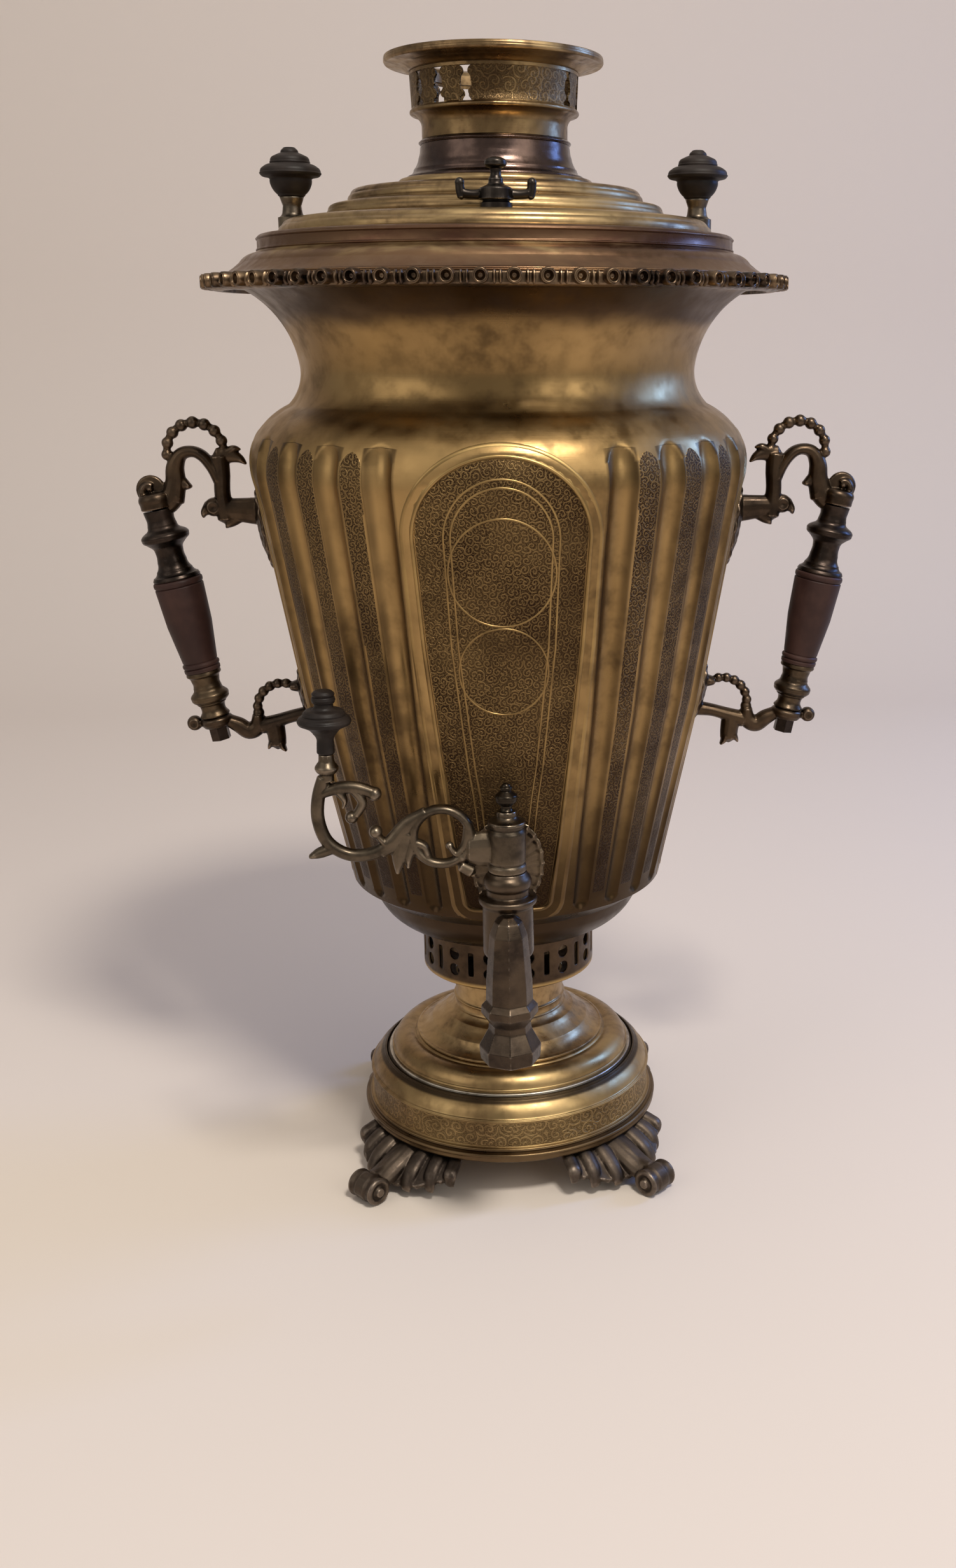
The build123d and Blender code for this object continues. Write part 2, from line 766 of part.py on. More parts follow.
# --- Crown ------------------------------------------------------------------------------------------------

z_gallery = z_crown + crown_foot_height
z_crown_rim = z_gallery + crown_gallery_height


def window(z):
    """Vase-shaped opening, one window high from z."""
    half, waist = window_width / 2, window_width / 5
    face = outline([
        (-half, z),
        (half, z),
        (half, z + 1.6),
        (waist, z + 0.3 * window_height, -0.8),
        (0.8 * half, z + 0.55 * window_height, 0.9),
        (waist, z + 0.78 * window_height, 0.5),
        (half, z + window_height, -0.8),
        (-half, z + window_height),
        (-waist, z + 0.78 * window_height, -0.8),
        (-0.8 * half, z + 0.55 * window_height, 0.5),
        (-waist, z + 0.3 * window_height, 0.9),
        (-half, z + 1.6, -0.8),
    ])
    bar = extrude(face, crown_rim_r, dir=(0, -1, 0))
    return bar.cut(Cylinder(crown_foot_r, 3 * z, align=(Align.CENTER, Align.CENTER, Align.CENTER)))


def make_crown_gallery():
    """Spun foot, cove and upright gallery wall, pierced with groups of windows."""
    shell = spun([
        (crown_foot_r, z_crown),
        (crown_foot_r, z_gallery),
        (crown_gallery_r - 0.8, z_gallery + crown_cove_height, -1.2),
        (crown_gallery_r + 0.2, z_gallery + crown_cove_height + 1.0, 0.3),
        (crown_gallery_r - 0.8, z_gallery + crown_cove_height + 2.2, 0.3),
        (crown_gallery_r, z_crown_rim),
    ], wall)
    base = z_gallery + crown_cove_height + 2.4
    cutters = []
    for place in range(windows_in_group):
        lean = window_pitch * (place - (windows_in_group - 1) / 2)
        cutters += around(Rot(0, 0, lean) * window(base), window_groups, window_first_angle)
    return shell.cut(*cutters)


def make_crown_rim():
    """Flange that a teapot stands on."""
    inner = crown_bore_r
    flare_z = z_crown_rim + crown_flare_height
    return turned([
        (inner, z_crown_rim + solder_gap),
        (crown_gallery_r + 0.3, z_crown_rim + solder_gap),
        (crown_rim_r, flare_z, -1.2),
        (crown_rim_r, flare_z + crown_rim_height, 0.8),
        (inner + 4.0, flare_z + crown_rim_height),
        (inner, flare_z + 1.0, -1.0),
    ])


def make_crown_sleeve():
    """Inner sleeve that slips down around the top of the chimney."""
    inner = tube_top_r + sleeve_gap
    outer = min(inner + wall, collar_mouth_r - wall - sleeve_gap)
    brim_r = crown_foot_r - wall - solder_gap
    return turned([
        (inner, z_crown - sleeve_depth),
        (outer, z_crown - sleeve_depth),
        (outer, z_crown + 1.0),
        (brim_r, z_crown + 1.0),
        (brim_r, z_crown + 1.0 + wall),
        (inner, z_crown + 1.0 + wall),
    ])


# --- Tap --------------------------------------------------------------------------------------------------

tap_y = -(wall_radius(tap_z) + tap_reach)
barrel_top = tap_z + barrel_rise
barrel_bottom = tap_z - barrel_drop
shank_slope = math.tan(math.radians(shank_tilt))
shank_out = Vector(0, -math.cos(math.radians(shank_tilt)), -math.sin(math.radians(shank_tilt)))
passage_centre = Vector(0, tap_y, tap_z)


def on_shank(distance):
    """Point on the water passage; positive distances lead into the urn."""
    return passage_centre - shank_out * distance


wall_distance = (tap_reach + panel_recess) / math.cos(math.radians(shank_tilt))
shank_end = wall_distance + shank_inside


def plug_radius(z):
    """Taper of the plug and its barrel."""
    return plug_bottom_r + (plug_top_r - plug_bottom_r) * (z - barrel_bottom) / (barrel_top - barrel_bottom)


def tap_hole(radius):
    return rod_between(on_shank(wall_distance - 15), on_shank(shank_end), radius)


def faceted(levels):
    """Eight-sided spout with a corner to the front, from (z, corner radius) levels."""
    rings = [Pos(0, tap_y - spout_offset, z) * RegularPolygon(radius, 8) for z, radius in levels]
    return loft(rings, ruled=True)


def make_tap_body():
    """Barrel with its collar ring, threaded shank and eight-sided spout, cast as one."""
    low, high = barrel_bottom, barrel_top
    barrel = Pos(0, tap_y, 0) * turned([
        (0, low),
        (barrel_r - 2.5, low),
        (barrel_r, low + 4.0, 0.8),
        (barrel_r, high - 17.0),
        (barrel_ring_r, high - 15.5),
        (barrel_ring_r, high - 12.5, 0.6),
        (barrel_r - 2.0, high - 11.5),
        (barrel_r - 2.0, high - 8.5),
        (barrel_r - 2.4, high - 1.5, 1.6),
        (barrel_r - 3.2, high),
        (0, high),
    ])
    shank = rod_between(on_shank(0), on_shank(shank_end), shank_r)
    top, foot = tap_z + 4.5, tap_z - spout_length
    spout = faceted([
        (foot, 14.2), (foot + 7.0, 14.8), (foot + 15.5, 10.3), (foot + 18.5, 9.9), (foot + 24.0, 13.6),
        (foot + 27.5, 13.4), (foot + 30.0, 11.2), (foot + 40.0, 10.9), (top - 9.0, 8.9), (top - 2.5, 6.6),
        (top, 3.0),
    ])
    solid = barrel.fuse(shank, spout)
    start, end = low - plug_tail - 1, high + 1
    taper = Pos(0, tap_y, start) * Cone(
        plug_radius(start) + plug_gap, plug_radius(end) + plug_gap, end - start,
        align=(Align.CENTER, Align.CENTER, Align.MIN))
    inlet = rod_between(on_shank(0), on_shank(shank_end + 1), passage_r)
    throat_z = tap_z - spout_offset * shank_slope
    throat = rod_between(on_shank(0), on_shank(-spout_offset / math.cos(math.radians(shank_tilt))), passage_r)
    y = tap_y - spout_offset
    outlet = rod_between((0, y, foot - 1), (0, y, throat_z), spout_bore_r)
    dome = Pos(0, y, throat_z) * Sphere(spout_bore_r)
    return solid.cut(taper, inlet, throat, outlet, dome)


def make_escutcheon():
    """Oval cast rose around the shank, dished and trimmed to the urn's wall."""
    z = escutcheon_z
    oval = Plane(origin=(0, 0, z), x_dir=(1, 0, 0), z_dir=(0, -1, 0)) * Ellipse(
        escutcheon_half_width, escutcheon_half_height)
    face_y = wall_radius(z) - panel_recess
    plate = extrude(oval, face_y + 4 * escutcheon_thickness, dir=(0, -1, 0))
    core = inset(wall_outline, panel_recess - solder_gap)
    outer_face = inside_of(inset(wall_outline, panel_recess - solder_gap - escutcheon_thickness))
    return (plate & outer_face).cut(inside_of(core), tap_hole(shank_r + solder_gap))


def make_tap_washer():
    """Packing inside the urn, faced square to the shank and trimmed to the wall."""
    seat = wall_distance + skin + tap_washer_thickness
    ring = rod_between(on_shank(wall_distance - 6), on_shank(seat), tap_nut_r)
    inner_wall = inside_of(inset(wall_outline, skin + solder_gap))
    return (ring & inner_wall).cut(tap_hole(shank_r + solder_gap))


def make_tap_nut():
    """Hexagon nut on the shank's threaded end."""
    seat = wall_distance + skin + tap_washer_thickness + solder_gap
    place = Plane(origin=on_shank(seat), x_dir=(1, 0, 0), z_dir=-shank_out)
    nut = place * extrude(RegularPolygon(tap_nut_r, 6), tap_nut_thickness)
    return nut.cut(tap_hole(shank_r + solder_gap))


# --- Tap key ------------------------------------------------------------------------------------------------

z_head = barrel_top + seat_gap / 2


def make_tap_key():
    """Tapered plug with its cross passage, round head, scrolled branch and knob post, cast as one."""
    low = barrel_bottom - plug_tail
    bob = Pos(0, tap_y, 0) * turned([
        (0, low),
        (plug_radius(low), low),
        (plug_radius(z_head), z_head),
        (head_r - 0.8, z_head),
        (head_r, z_head + 1.2, 0.4),
        (head_r, z_head + 3.0),
        (head_r - 0.8, z_head + 4.0),
        (head_r, z_head + head_height),
        (head_r - 1.5, z_head + head_height + 1.4),
        (head_r - 0.5, z_head + head_height + 2.6, 0.4),
        (head_r - 0.5, z_head + head_height + 4.6, 0.4),
        (4.4, z_head + head_height + 7.0, -0.4),
        (4.4, z_head + head_height + 9.5, 0.5),
        (0, z_head + head_height + 9.5),
    ])
    port = rod_between(on_shank(-20), on_shank(20), passage_r)
    port = Pos(0, tap_y, 0) * Rot(0, 0, -90) * Pos(0, -tap_y, 0) * port
    ring_x, ring_z = -branch_ring_x, z_head + branch_ring_rise
    ring = disc(ring_x, ring_z, branch_ring_r) - disc(ring_x, ring_z, branch_ring_bore_r)
    post_x = -key_post_x
    faces = [
        limb([(-6.5, z_head + 11, 10.2), (-15.6, z_head + 11, 10.6)]),
        limb([(ring_x + 8.5, ring_z - 14.5, 2.4), (ring_x + 13.5, ring_z - 17.5, 2.6)]),
        disc(ring_x + 9.0, ring_z - 9.5, 2.4),
        limb([(ring_x - 12.8, ring_z - 2.5, 1.6), (ring_x - 8.5, ring_z - 5.0, 2.0),
              (ring_x - 9.5, ring_z - 10.5, 1.6)]),
        limb([(ring_x - 7, ring_z + 12.0, 2.2), (ring_x - 15.5, ring_z + 6.0, 3.6),
              (ring_x - 21.5, ring_z - 1.5, 4.0), (ring_x - 28.5, ring_z - 7.0, 2.6)]),
        limb([(ring_x - 16, ring_z + 2.0, 4.0), (ring_x - 19.5, ring_z - 8.0, 3.6),
              (ring_x - 21.0, ring_z - 17.5, 0.8)]),
        disc(ring_x - 30.5, ring_z + 2.5, 2.6),
        limb([(ring_x - 25.0, ring_z - 4.0, 1.8), (ring_x - 28.0, ring_z - 1.5, 1.5),
              (ring_x - 30.5, ring_z + 2.5, 1.3)]),
        limb([(post_x - 1.5, z_head + 46.5, 2.7), (post_x - 4.6, z_head + 37.5, 2.5),
              (post_x - 5.3, z_head + 27.0, 2.5), (post_x - 2.0, z_head + 16.5, 2.5),
              (post_x + 5.5, z_head + 10.2, 2.5), (post_x + 14.0, z_head + 8.6, 2.6),
              (post_x + 22.5, z_head + 11.0, 2.8), (post_x + 28.0, z_head + 15.5, 3.0)]),
        limb([(post_x - 3.5, z_head + 40.0, 2.0), (post_x + 5.0, z_head + 41.4, 2.2),
              (post_x + 14.0, z_head + 41.2, 2.2), (post_x + 20.5, z_head + 39.8, 2.4)]),
        limb([(post_x + 14.0, z_head + 40.5, 1.6), (post_x + 15.5, z_head + 33.5, 1.7),
              (post_x + 11.0, z_head + 28.0, 1.5)]),
        disc(post_x + 10.5, z_head + 27.5, 2.5),
        limb([(post_x + 1.0, z_head + 12.5, 2.2), (post_x - 5.0, z_head + 10.5, 2.0),
              (post_x - 9.8, z_head + 8.6, 0.8)]),
    ]
    branch = cast(faces + [ring], branch_thickness)
    branch = Pos(0, tap_y, 0) * branch
    post_z = z_head + 45.0
    post = Pos(post_x, tap_y, 0) * turned([
        (0, post_z),
        (3.0, post_z),
        (3.0, post_z + 3.5),
        (5.0, post_z + 5.0, 0.3),
        (5.0, post_z + 7.5, 0.5),
        (3.4, post_z + 9.5),
        (3.4, post_z + 13.0),
        (1.6, post_z + 13.0),
        (1.6, post_z + 27.0),
        (0, post_z + 27.0),
    ])
    below = rod_between((0, tap_y, low), (0, tap_y, z_head), branch_ring_x + 2 * branch_ring_r)
    bore = rod_between((0, tap_y, z_head + head_height), (0, tap_y, z_head + head_height + 20), 1.5)
    return bob.cut(port).fuse(branch.cut(below), post).cut(bore)


def make_key_finial():
    """Turned finial screwed into the key's head."""
    z = z_head + head_height + 9.5 + solder_gap
    return Pos(0, tap_y, 0) * turned([
        (0, z - 6.0),
        (1.4, z - 6.0),
        (1.4, z),
        (3.2, z),
        (2.3, z + 2.0, -0.2),
        (4.0, z + 3.6),
        (5.1, z + 6.2, 0.5),
        (4.0, z + 8.4, 0.5),
        (2.2, z + 9.4),
        (2.2, z + 10.8),
        (0.6, z + 13.2, 0.75),
        (0, z + 13.2),
    ])


def make_key_knob():
    """Turned black knob on the branch's post: cup, wide saucer and stacked rings."""
    z = z_head + 58.0 + solder_gap
    knob = turned([
        (0, z),
        (3.6, z),
        (4.2, z + 5.0),
        (key_knob_r - 1.0, z + 13.5, -1.5),
        (key_knob_r, z + 15.5, 0.3),
        (key_knob_r - 0.6, z + 17.2, 0.3),
        (key_knob_r - 2.5, z + 18.2),
        (key_knob_r - 2.8, z + 20.0, 0.4),
        (4.6, z + 20.8),
        (4.3, z + 24.0),
        (5.2, z + 25.2, 0.3),
        (5.0, z + 27.6, 0.4),
        (2.5, z + 29.4, 0.4),
        (0, z + 30.0),
    ])
    tenon = rod_between((0, 0, z - 1), (0, 0, z + 14.5), 1.6 + rod_gap)
    return Pos(-key_post_x, tap_y, 0) * knob.cut(tenon)


# --- Handles ---------------------------------------------------------------------------------------------------
# Each bracket is drawn in its own XZ frame: x outwards from the panel, z up from the bracket's middle.

upper_root = Vector(wall_radius(upper_bracket_z) - panel_recess, 0, upper_bracket_z)
lower_root = Vector(wall_radius(lower_bracket_z) - panel_recess, 0, lower_bracket_z)
upper_end = upper_root + Vector(upper_socket[0], 0, upper_socket[1])
lower_end = lower_root + Vector(lower_socket[0], 0, lower_socket[1])
grip_plane = Plane(origin=lower_end, x_dir=(0, 1, 0), z_dir=upper_end - lower_end)
grip_run = (upper_end - lower_end).length
grip_length = grip_run - upper_ferrule_length - lower_ferrule_length


def plate_blank(root, half_width, half_height, reach):
    """Oval pad that follows the wall: a bar along X, trimmed by the wall and by a skin over it."""
    oval = Plane(origin=root, x_dir=(0, 1, 0), z_dir=(1, 0, 0)) * Ellipse(half_width, half_height)
    bar = extrude(oval, 3 * reach, dir=(1, 0, 0), both=True)
    return bar & inside_of(inset(wall_outline, panel_recess - solder_gap - reach))


def grip_axis_cut(low, high, radius):
    """Room for turned pieces on the grip's axis, between two stations."""
    return grip_plane * Pos(0, 0, low) * Cylinder(
        radius, high - low, align=(Align.CENTER, Align.CENTER, Align.MIN))


def make_upper_bracket():
    """Scrolled casting: oval pad, stem with a leaf, plain arch, beaded arch and volute over the grip."""
    thick = [
        limb([(-1, 8.5, 6.5), (8, 9.0, 5.8), (15, 9.5, 5.4), (20.5, 9.5, 5.0)]),
        limb([(20.3, 6.0, 4.6), (21.7, 18.5, 3.6), (21.4, 27.0, 3.7), (22.1, 36.0, 4.2)]),
        limb([(23.0, 24.0, 2.6), (25.9, 30.5, 2.6), (30.3, 36.2, 2.6), (35.3, 38.4, 2.5),
              (40.8, 37.0, 3.0), (44.1, 31.0, 4.0), (44.6, 23.0, 4.6), (46.8, 14.5, 5.6)]),
        limb([(45.0, 18.0, 5.0), (50.5, 14.0, 5.5), (56.5, 13.5, 6.5)]),
        disc(56.9, 19.6, 8.5),
        disc(26.4, 11.0, 4.6),
    ]
    thin = bead_arch(33.6, 38.4, 14.1, 3.1, 2.0, 182, -6, bead_arch_beads) + [
        limb([(23.0, 36.0, 3.6), (16.8, 36.4, 3.2), (12.1, 34.8, 1.9), (9.1, 32.2, 0.5)]),
        limb([(43.0, 24.0, 3.4), (39.0, 21.8, 2.0), (36.6, 21.2, 0.6)]),
        limb([(28.2, 11.0, 3.2), (31.2, 8.2, 1.8), (31.9, 5.8, 0.5)]),
        limb([(15.0, 6.5, 3.4), (18.8, 3.0, 2.2), (20.9, 0.6, 0.5)]),
    ]
    casting = cast(thick, casting_thickness).fuse(cast(thin, casting_thickness * 0.7))
    casting = Pos(*upper_root) * casting
    socket = grip_axis_cut(grip_run + solder_gap, grip_run + 9, 8.0)
    pad = plate_blank(upper_root, 11.0, 20.0, 4.5)
    room = grip_axis_cut(grip_run - 60, grip_run + solder_gap, 14.0)
    bore = grip_axis_cut(0, grip_run + 6.0, rod_r + rod_gap)
    return casting.fuse(socket, pad).cut(room, bore, seat_core)


def make_lower_bracket():
    """Scrolled casting: oval pad, beaded loop, hanging leaf, dipped arm and saucer under the grip."""
    thick = [
        limb([(-1, -9.5, 3.6), (8, -10.8, 3.0), (16, -13.2, 3.2), (25, -16.0, 4.0)]),
        limb([(26.3, -10.0, 2.8), (27.0, -16.0, 4.0), (31.5, -18.6, 4.0), (36.5, -15.4, 3.8),
              (41.5, -12.8, 3.0)]),
        limb([(18.4, -14.0, 4.8), (17.4, -21.0, 4.4), (17.2, -26.0, 4.4)]),
        limb([(15.5, -24.5, 2.4), (14.4, -27.5, 1.6), (12.7, -29.8, 0.5)]),
        limb([(19.6, -24.5, 2.0), (21.0, -26.5, 1.3), (22.0, -28.4, 0.5)]),
    ]
    thin = bead_arch(13.0, -6.5, 13.4, 2.7, 1.9, 118, -14, 8) + [
        limb([(-1, 6.5, 5.0), (4.5, 5.5, 3.4), (8.5, 5.2, 2.2)]),
    ]
    casting = cast(thick, casting_thickness).fuse(cast(thin, casting_thickness * 0.7))
    casting = Pos(*lower_root) * casting
    saucer = grip_axis_cut(-saucer_thickness, -solder_gap, saucer_r)
    arm_end = lower_end + Vector(10.9, 0, -4.0)
    arm = cast([limb([(lower_end.X + 3, lower_end.Z - 3.6, 1.9), (arm_end.X, arm_end.Z, 1.7)]),
                disc(arm_end.X, arm_end.Z, 3.9)], 6.0)
    pad = plate_blank(lower_root, 9.5, 15.0, 4.0)
    room = grip_axis_cut(-solder_gap, 60, 14.0).fuse(grip_axis_cut(-20, -saucer_thickness, 6.5))
    bore = grip_axis_cut(-20, 20, rod_r + rod_gap)
    return casting.fuse(saucer, arm, pad).cut(room, bore, seat_core)


def on_grip(points):
    """Bored turning on the grip's axis."""
    bore = rod_r + rod_gap
    return grip_plane * turned([(bore, points[0][1])] + points + [(bore, points[-1][1])])


def make_lower_ferrule():
    """Turned metal baluster between the saucer and the grip."""
    return on_grip([
        (7.5, 0),
        (6.3, 3.0, -0.3),
        (6.6, 6.0),
        (grip_bottom_r + 0.8, 9.0, 0.6),
        (grip_bottom_r + 0.4, 12.0, 0.6),
        (6.9, 16.5, -0.6),
        (7.3, 20.5),
        (grip_bottom_r, lower_ferrule_length - 2.5, -0.3),
        (grip_bottom_r, lower_ferrule_length - solder_gap, 0.3),
    ])


def make_grip():
    """Turned wooden grip, ringed near both ends."""
    low = lower_ferrule_length
    high = low + grip_length
    return on_grip([
        (grip_bottom_r, low),
        (grip_bottom_r + 0.3, low + 2.0, 0.3),
        (grip_bottom_r - 0.2, low + 2.4),
        (grip_bottom_r + 0.4, low + 4.6, 0.3),
        (grip_bottom_r, low + 5.0),
        (grip_top_r, high - 4.0, 0.8),
        (grip_top_r - 0.5, high - 3.4),
        (grip_top_r, high - 3.0),
        (grip_top_r - 0.2, high),
    ])


def make_upper_ferrule():
    """Turned metal baluster between the grip and the upper bracket."""
    low = grip_run - upper_ferrule_length + solder_gap
    return on_grip([
        (grip_top_r - 0.4, low),
        (grip_top_r - 0.8, low + 2.0),
        (6.9, low + 12.5, -2.4),
        (7.4, low + 16.0),
        (grip_top_r - 1.4, low + 19.5, -0.8),
        (grip_top_r - 0.7, low + 22.0, 0.4),
        (grip_top_r - 1.6, low + 24.5, 0.4),
        (6.9, low + 30.0, -1.0),
        (7.6, low + upper_ferrule_length - solder_gap),
    ])


def make_grip_rod():
    """Steel rod through the grip, from the nut to the upper socket."""
    return grip_axis_cut(-saucer_thickness - rod_nut_height + 1.5, grip_run + 5.5, rod_r)


def make_rod_nut():
    """Domed hexagon nut below the saucer."""
    base = -saucer_thickness - solder_gap
    place = grip_plane * Pos(0, 0, base - rod_nut_height)
    nut = place * extrude(RegularPolygon(rod_nut_r, 6), rod_nut_height)
    return nut.cut(grip_axis_cut(-30, 0, rod_r + solder_gap))


# --- Assembly ------------------------------------------------------------------------------------------------------

def both_sides(name, shape, nodes):
    """A piece on the right and its mirror image on the left."""
    nodes["right_" + name] = shape
    nodes["left_" + name] = mirror(shape, Plane.YZ)


def group(shapes):
    """Separate identical solids in one node."""
    return Compound(children=[solid for shape in shapes for solid in shape.solids()])


def build():
    nodes = {
        "urn_body": make_urn(),
        "rim_ring": make_rim(),
        "fire_tube": make_fire_tube(),
        "fire_grate": make_grate(),
        "pierced_collar": make_collar(),
        "pedestal": make_pedestal(),
        "base_drum": make_drum(),
        "base_plate": make_base_plate(),
        "foot_screws": group(around(make_foot_screw(), foot_count, 45)),
        "tap_body": make_tap_body(),
        "tap_escutcheon": make_escutcheon(),
        "tap_washer": make_tap_washer(),
        "tap_nut": make_tap_nut(),
        "tap_key": make_tap_key(),
        "tap_key_finial": make_key_finial(),
        "tap_key_knob": make_key_knob(),
        "lid_shell": make_lid(),
        "lid_collar": make_lid_collar(),
        "lid_knob_nuts": group(around(make_knob_nut(), 2)),
        "vent_seat": make_vent_seat(),
        "vent_cap": make_vent_cap(),
        "crown_gallery": make_crown_gallery(),
        "crown_rim": make_crown_rim(),
        "crown_sleeve": make_crown_sleeve(),
    }
    corners = ("back_right", "back_left", "front_left", "front_right")
    for corner, foot in zip(corners, around(make_foot(), foot_count, 45)):
        nodes["foot_" + corner] = foot
    both_sides("upper_bracket", make_upper_bracket(), nodes)
    both_sides("lower_bracket", make_lower_bracket(), nodes)
    both_sides("upper_ferrule", make_upper_ferrule(), nodes)
    both_sides("grip", make_grip(), nodes)
    both_sides("lower_ferrule", make_lower_ferrule(), nodes)
    both_sides("grip_rod", make_grip_rod(), nodes)
    both_sides("rod_nut", make_rod_nut(), nodes)
    both_sides("lid_knob_stem", make_knob_stem(), nodes)
    both_sides("lid_knob", make_knob(), nodes)
    return nodes


for node_name, node_shape in build().items():
    export_step(node_shape, "parts/" + node_name + ".step")
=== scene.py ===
import bpy
import bmesh
import json
import math
from mathutils import Matrix, Vector


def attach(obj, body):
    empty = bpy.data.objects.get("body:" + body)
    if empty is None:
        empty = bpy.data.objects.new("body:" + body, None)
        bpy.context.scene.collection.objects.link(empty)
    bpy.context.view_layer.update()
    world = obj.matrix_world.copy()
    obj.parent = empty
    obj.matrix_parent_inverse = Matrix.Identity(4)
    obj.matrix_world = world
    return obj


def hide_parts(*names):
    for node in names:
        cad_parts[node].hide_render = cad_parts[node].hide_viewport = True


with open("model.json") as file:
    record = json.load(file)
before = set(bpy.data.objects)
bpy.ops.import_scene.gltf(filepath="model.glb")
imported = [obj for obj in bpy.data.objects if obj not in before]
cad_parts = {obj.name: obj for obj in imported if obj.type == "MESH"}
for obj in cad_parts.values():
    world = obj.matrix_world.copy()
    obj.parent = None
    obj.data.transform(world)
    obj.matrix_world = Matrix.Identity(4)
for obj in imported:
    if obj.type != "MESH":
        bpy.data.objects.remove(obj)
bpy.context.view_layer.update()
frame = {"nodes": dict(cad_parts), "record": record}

# Finishes and fine detail of a charcoal samovar. Shapes are written in millimetres in the frame of
# the built model: +Z up, the tap towards -Y, the handles along X.
MM = 0.001
TO_MM = 1000

# --- Sizes shared by several pieces ---------------------------------------------------------------
SKIN = 2.0                            # urn sheet with the depth of a sunk panel
RECESS = 1.0                          # depth of a sunk panel
LIP_R, LIP_TOP = 131.0, 458.5
PANEL_FOOT, PANEL_SPRING, PANEL_APEX = 164.0, 350.0, 385.5   # heights of a panel and its arch
PANEL_CORNER = 4.5                    # radius at a panel's foot
FLUTES = (25.7, 38.6)                 # degrees from the middle of a panel
FLUTE_TOP, FLUTE_BOTTOM = 380.0, 165.0
TAP_Y = -112.0                        # axis of the tap's plug
VENT_Y = -88.0                        # axis of the steam vent
KNOB_X = 97.5                         # axis of a lid knob
KEY_POST_X = -81.5                    # axis of the tap key's knob
MERGE = 2e-6                          # metres within which a built node's corners are one
EVEN_WEAR = 0.52                      # neither hollow nor worn edge


# --- Shape helpers --------------------------------------------------------------------------------

def arc_points(points, step=6.0):
    """(r, z) points of an outline. A third number is the bulge of the arc that leads to a point."""
    path = [Vector(points[0][:2])]
    for before, point in zip(points, points[1:]):
        start, end = Vector(before[:2]), Vector(point[:2])
        if len(point) > 2 and abs(point[2]) > 1e-6:
            bulge = point[2]
            chord = end - start
            side = Vector((chord.y, -chord.x)).normalized()
            radius = (chord.length ** 2 / 4 + bulge ** 2) / (2 * bulge)
            centre = (start + end) / 2 - side * (radius - bulge)
            turn = 2 * math.asin(max(-1, min(1, chord.length / (2 * radius))))
            if abs(bulge) > chord.length / 2:
                turn = math.copysign(2 * math.pi, turn) - turn
            count = max(2, int(abs(math.degrees(turn)) / step) + 1)
            for place in range(1, count):
                path.append(centre + Matrix.Rotation(turn * place / count, 2) @ (start - centre))
        path.append(end)
    return path


def eased(path, reach):
    """An outline with its sharp corners rounded over a short reach."""
    result = [path[0]]
    for before, corner, after in zip(path, path[1:], path[2:]):
        to_before, to_after = before - corner, after - corner
        if min(to_before.length, to_after.length) < 1e-6:
            continue
        turn = math.pi - to_before.angle(to_after)
        if turn < math.radians(14):
            result.append(corner)
            continue
        cut = min(reach, 0.4 * to_before.length, 0.4 * to_after.length)
        first = corner + to_before.normalized() * cut
        second = corner + to_after.normalized() * cut
        result += [first, (first + second + 2 * corner) / 4, second]
    return result + [path[-1]]


def raised(points, base):
    """Outline points whose heights were measured from a base."""
    return [(r, base + z, *bulge) for r, z, *bulge in points]


def placed(name, data):
    """A new object in the scene."""
    made = bpy.data.objects.new(name, data)
    bpy.context.scene.collection.objects.link(made)
    return made


def finish_mesh(name, shape, material, sharp=32.0):
    """A piece at the origin from a bmesh in millimetres, smooth but for its sharp edges."""
    bmesh.ops.recalc_face_normals(shape, faces=shape.faces)
    mesh = bpy.data.meshes.new(name)
    shape.to_mesh(mesh)
    shape.free()
    mesh.transform(Matrix.Scale(MM, 4))
    mesh.shade_smooth()
    mesh.set_sharp_from_angle(angle=math.radians(sharp))
    mesh.materials.append(material)
    return placed(name, mesh)


def seat(piece, body, *nodes, slot=None):
    """Puts a piece on a body, in the place of built nodes."""
    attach(piece, body)
    if nodes:
        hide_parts(*nodes)


def bridge(shape, low, high):
    """Joins two closed rings with faces. A ring of one vertex is a pole."""
    turns = max(len(low), len(high))
    for turn in range(turns):
        after = (turn + 1) % turns
        corners = list(dict.fromkeys((low[turn % len(low)], low[after % len(low)],
                                      high[after % len(high)], high[turn % len(high)])))
        if len(corners) > 2:
            shape.faces.new(corners)


def revolved(shape, path, turns, place=Matrix.Identity(4), closed=False):
    """Adds a solid of revolution to a bmesh. A point on the axis becomes a pole."""
    rings = []
    for point in path:
        if point.x < 1e-4:
            rings.append([shape.verts.new(place @ Vector((0, 0, point.y)))])
            continue
        ways = [2 * math.pi * turn / turns for turn in range(turns)]
        ring = [Vector((point.x * math.cos(way), point.x * math.sin(way), point.y)) for way in ways]
        rings.append([shape.verts.new(place @ spot) for spot in ring])
    pairs = list(zip(rings, rings[1:]))
    if closed:
        pairs.append((rings[-1], rings[0]))
    for low, high in pairs:
        bridge(shape, low, high)


def turned(name, points, material, turns, place, ease=0.35):
    """A turned piece from an outline that starts and ends on the axis."""
    shape = bmesh.new()
    revolved(shape, eased(arc_points(points), ease), turns, place)
    return finish_mesh(name, shape, material)


def spun(name, outer, inner, material, turns=180):
    """Spun sheet: a detailed outside and a plain inside, both from low to high."""
    shape = bmesh.new()
    revolved(shape, eased(arc_points(outer), 0.3) + arc_points(inner[::-1]), turns, closed=True)
    return finish_mesh(name, shape, material)


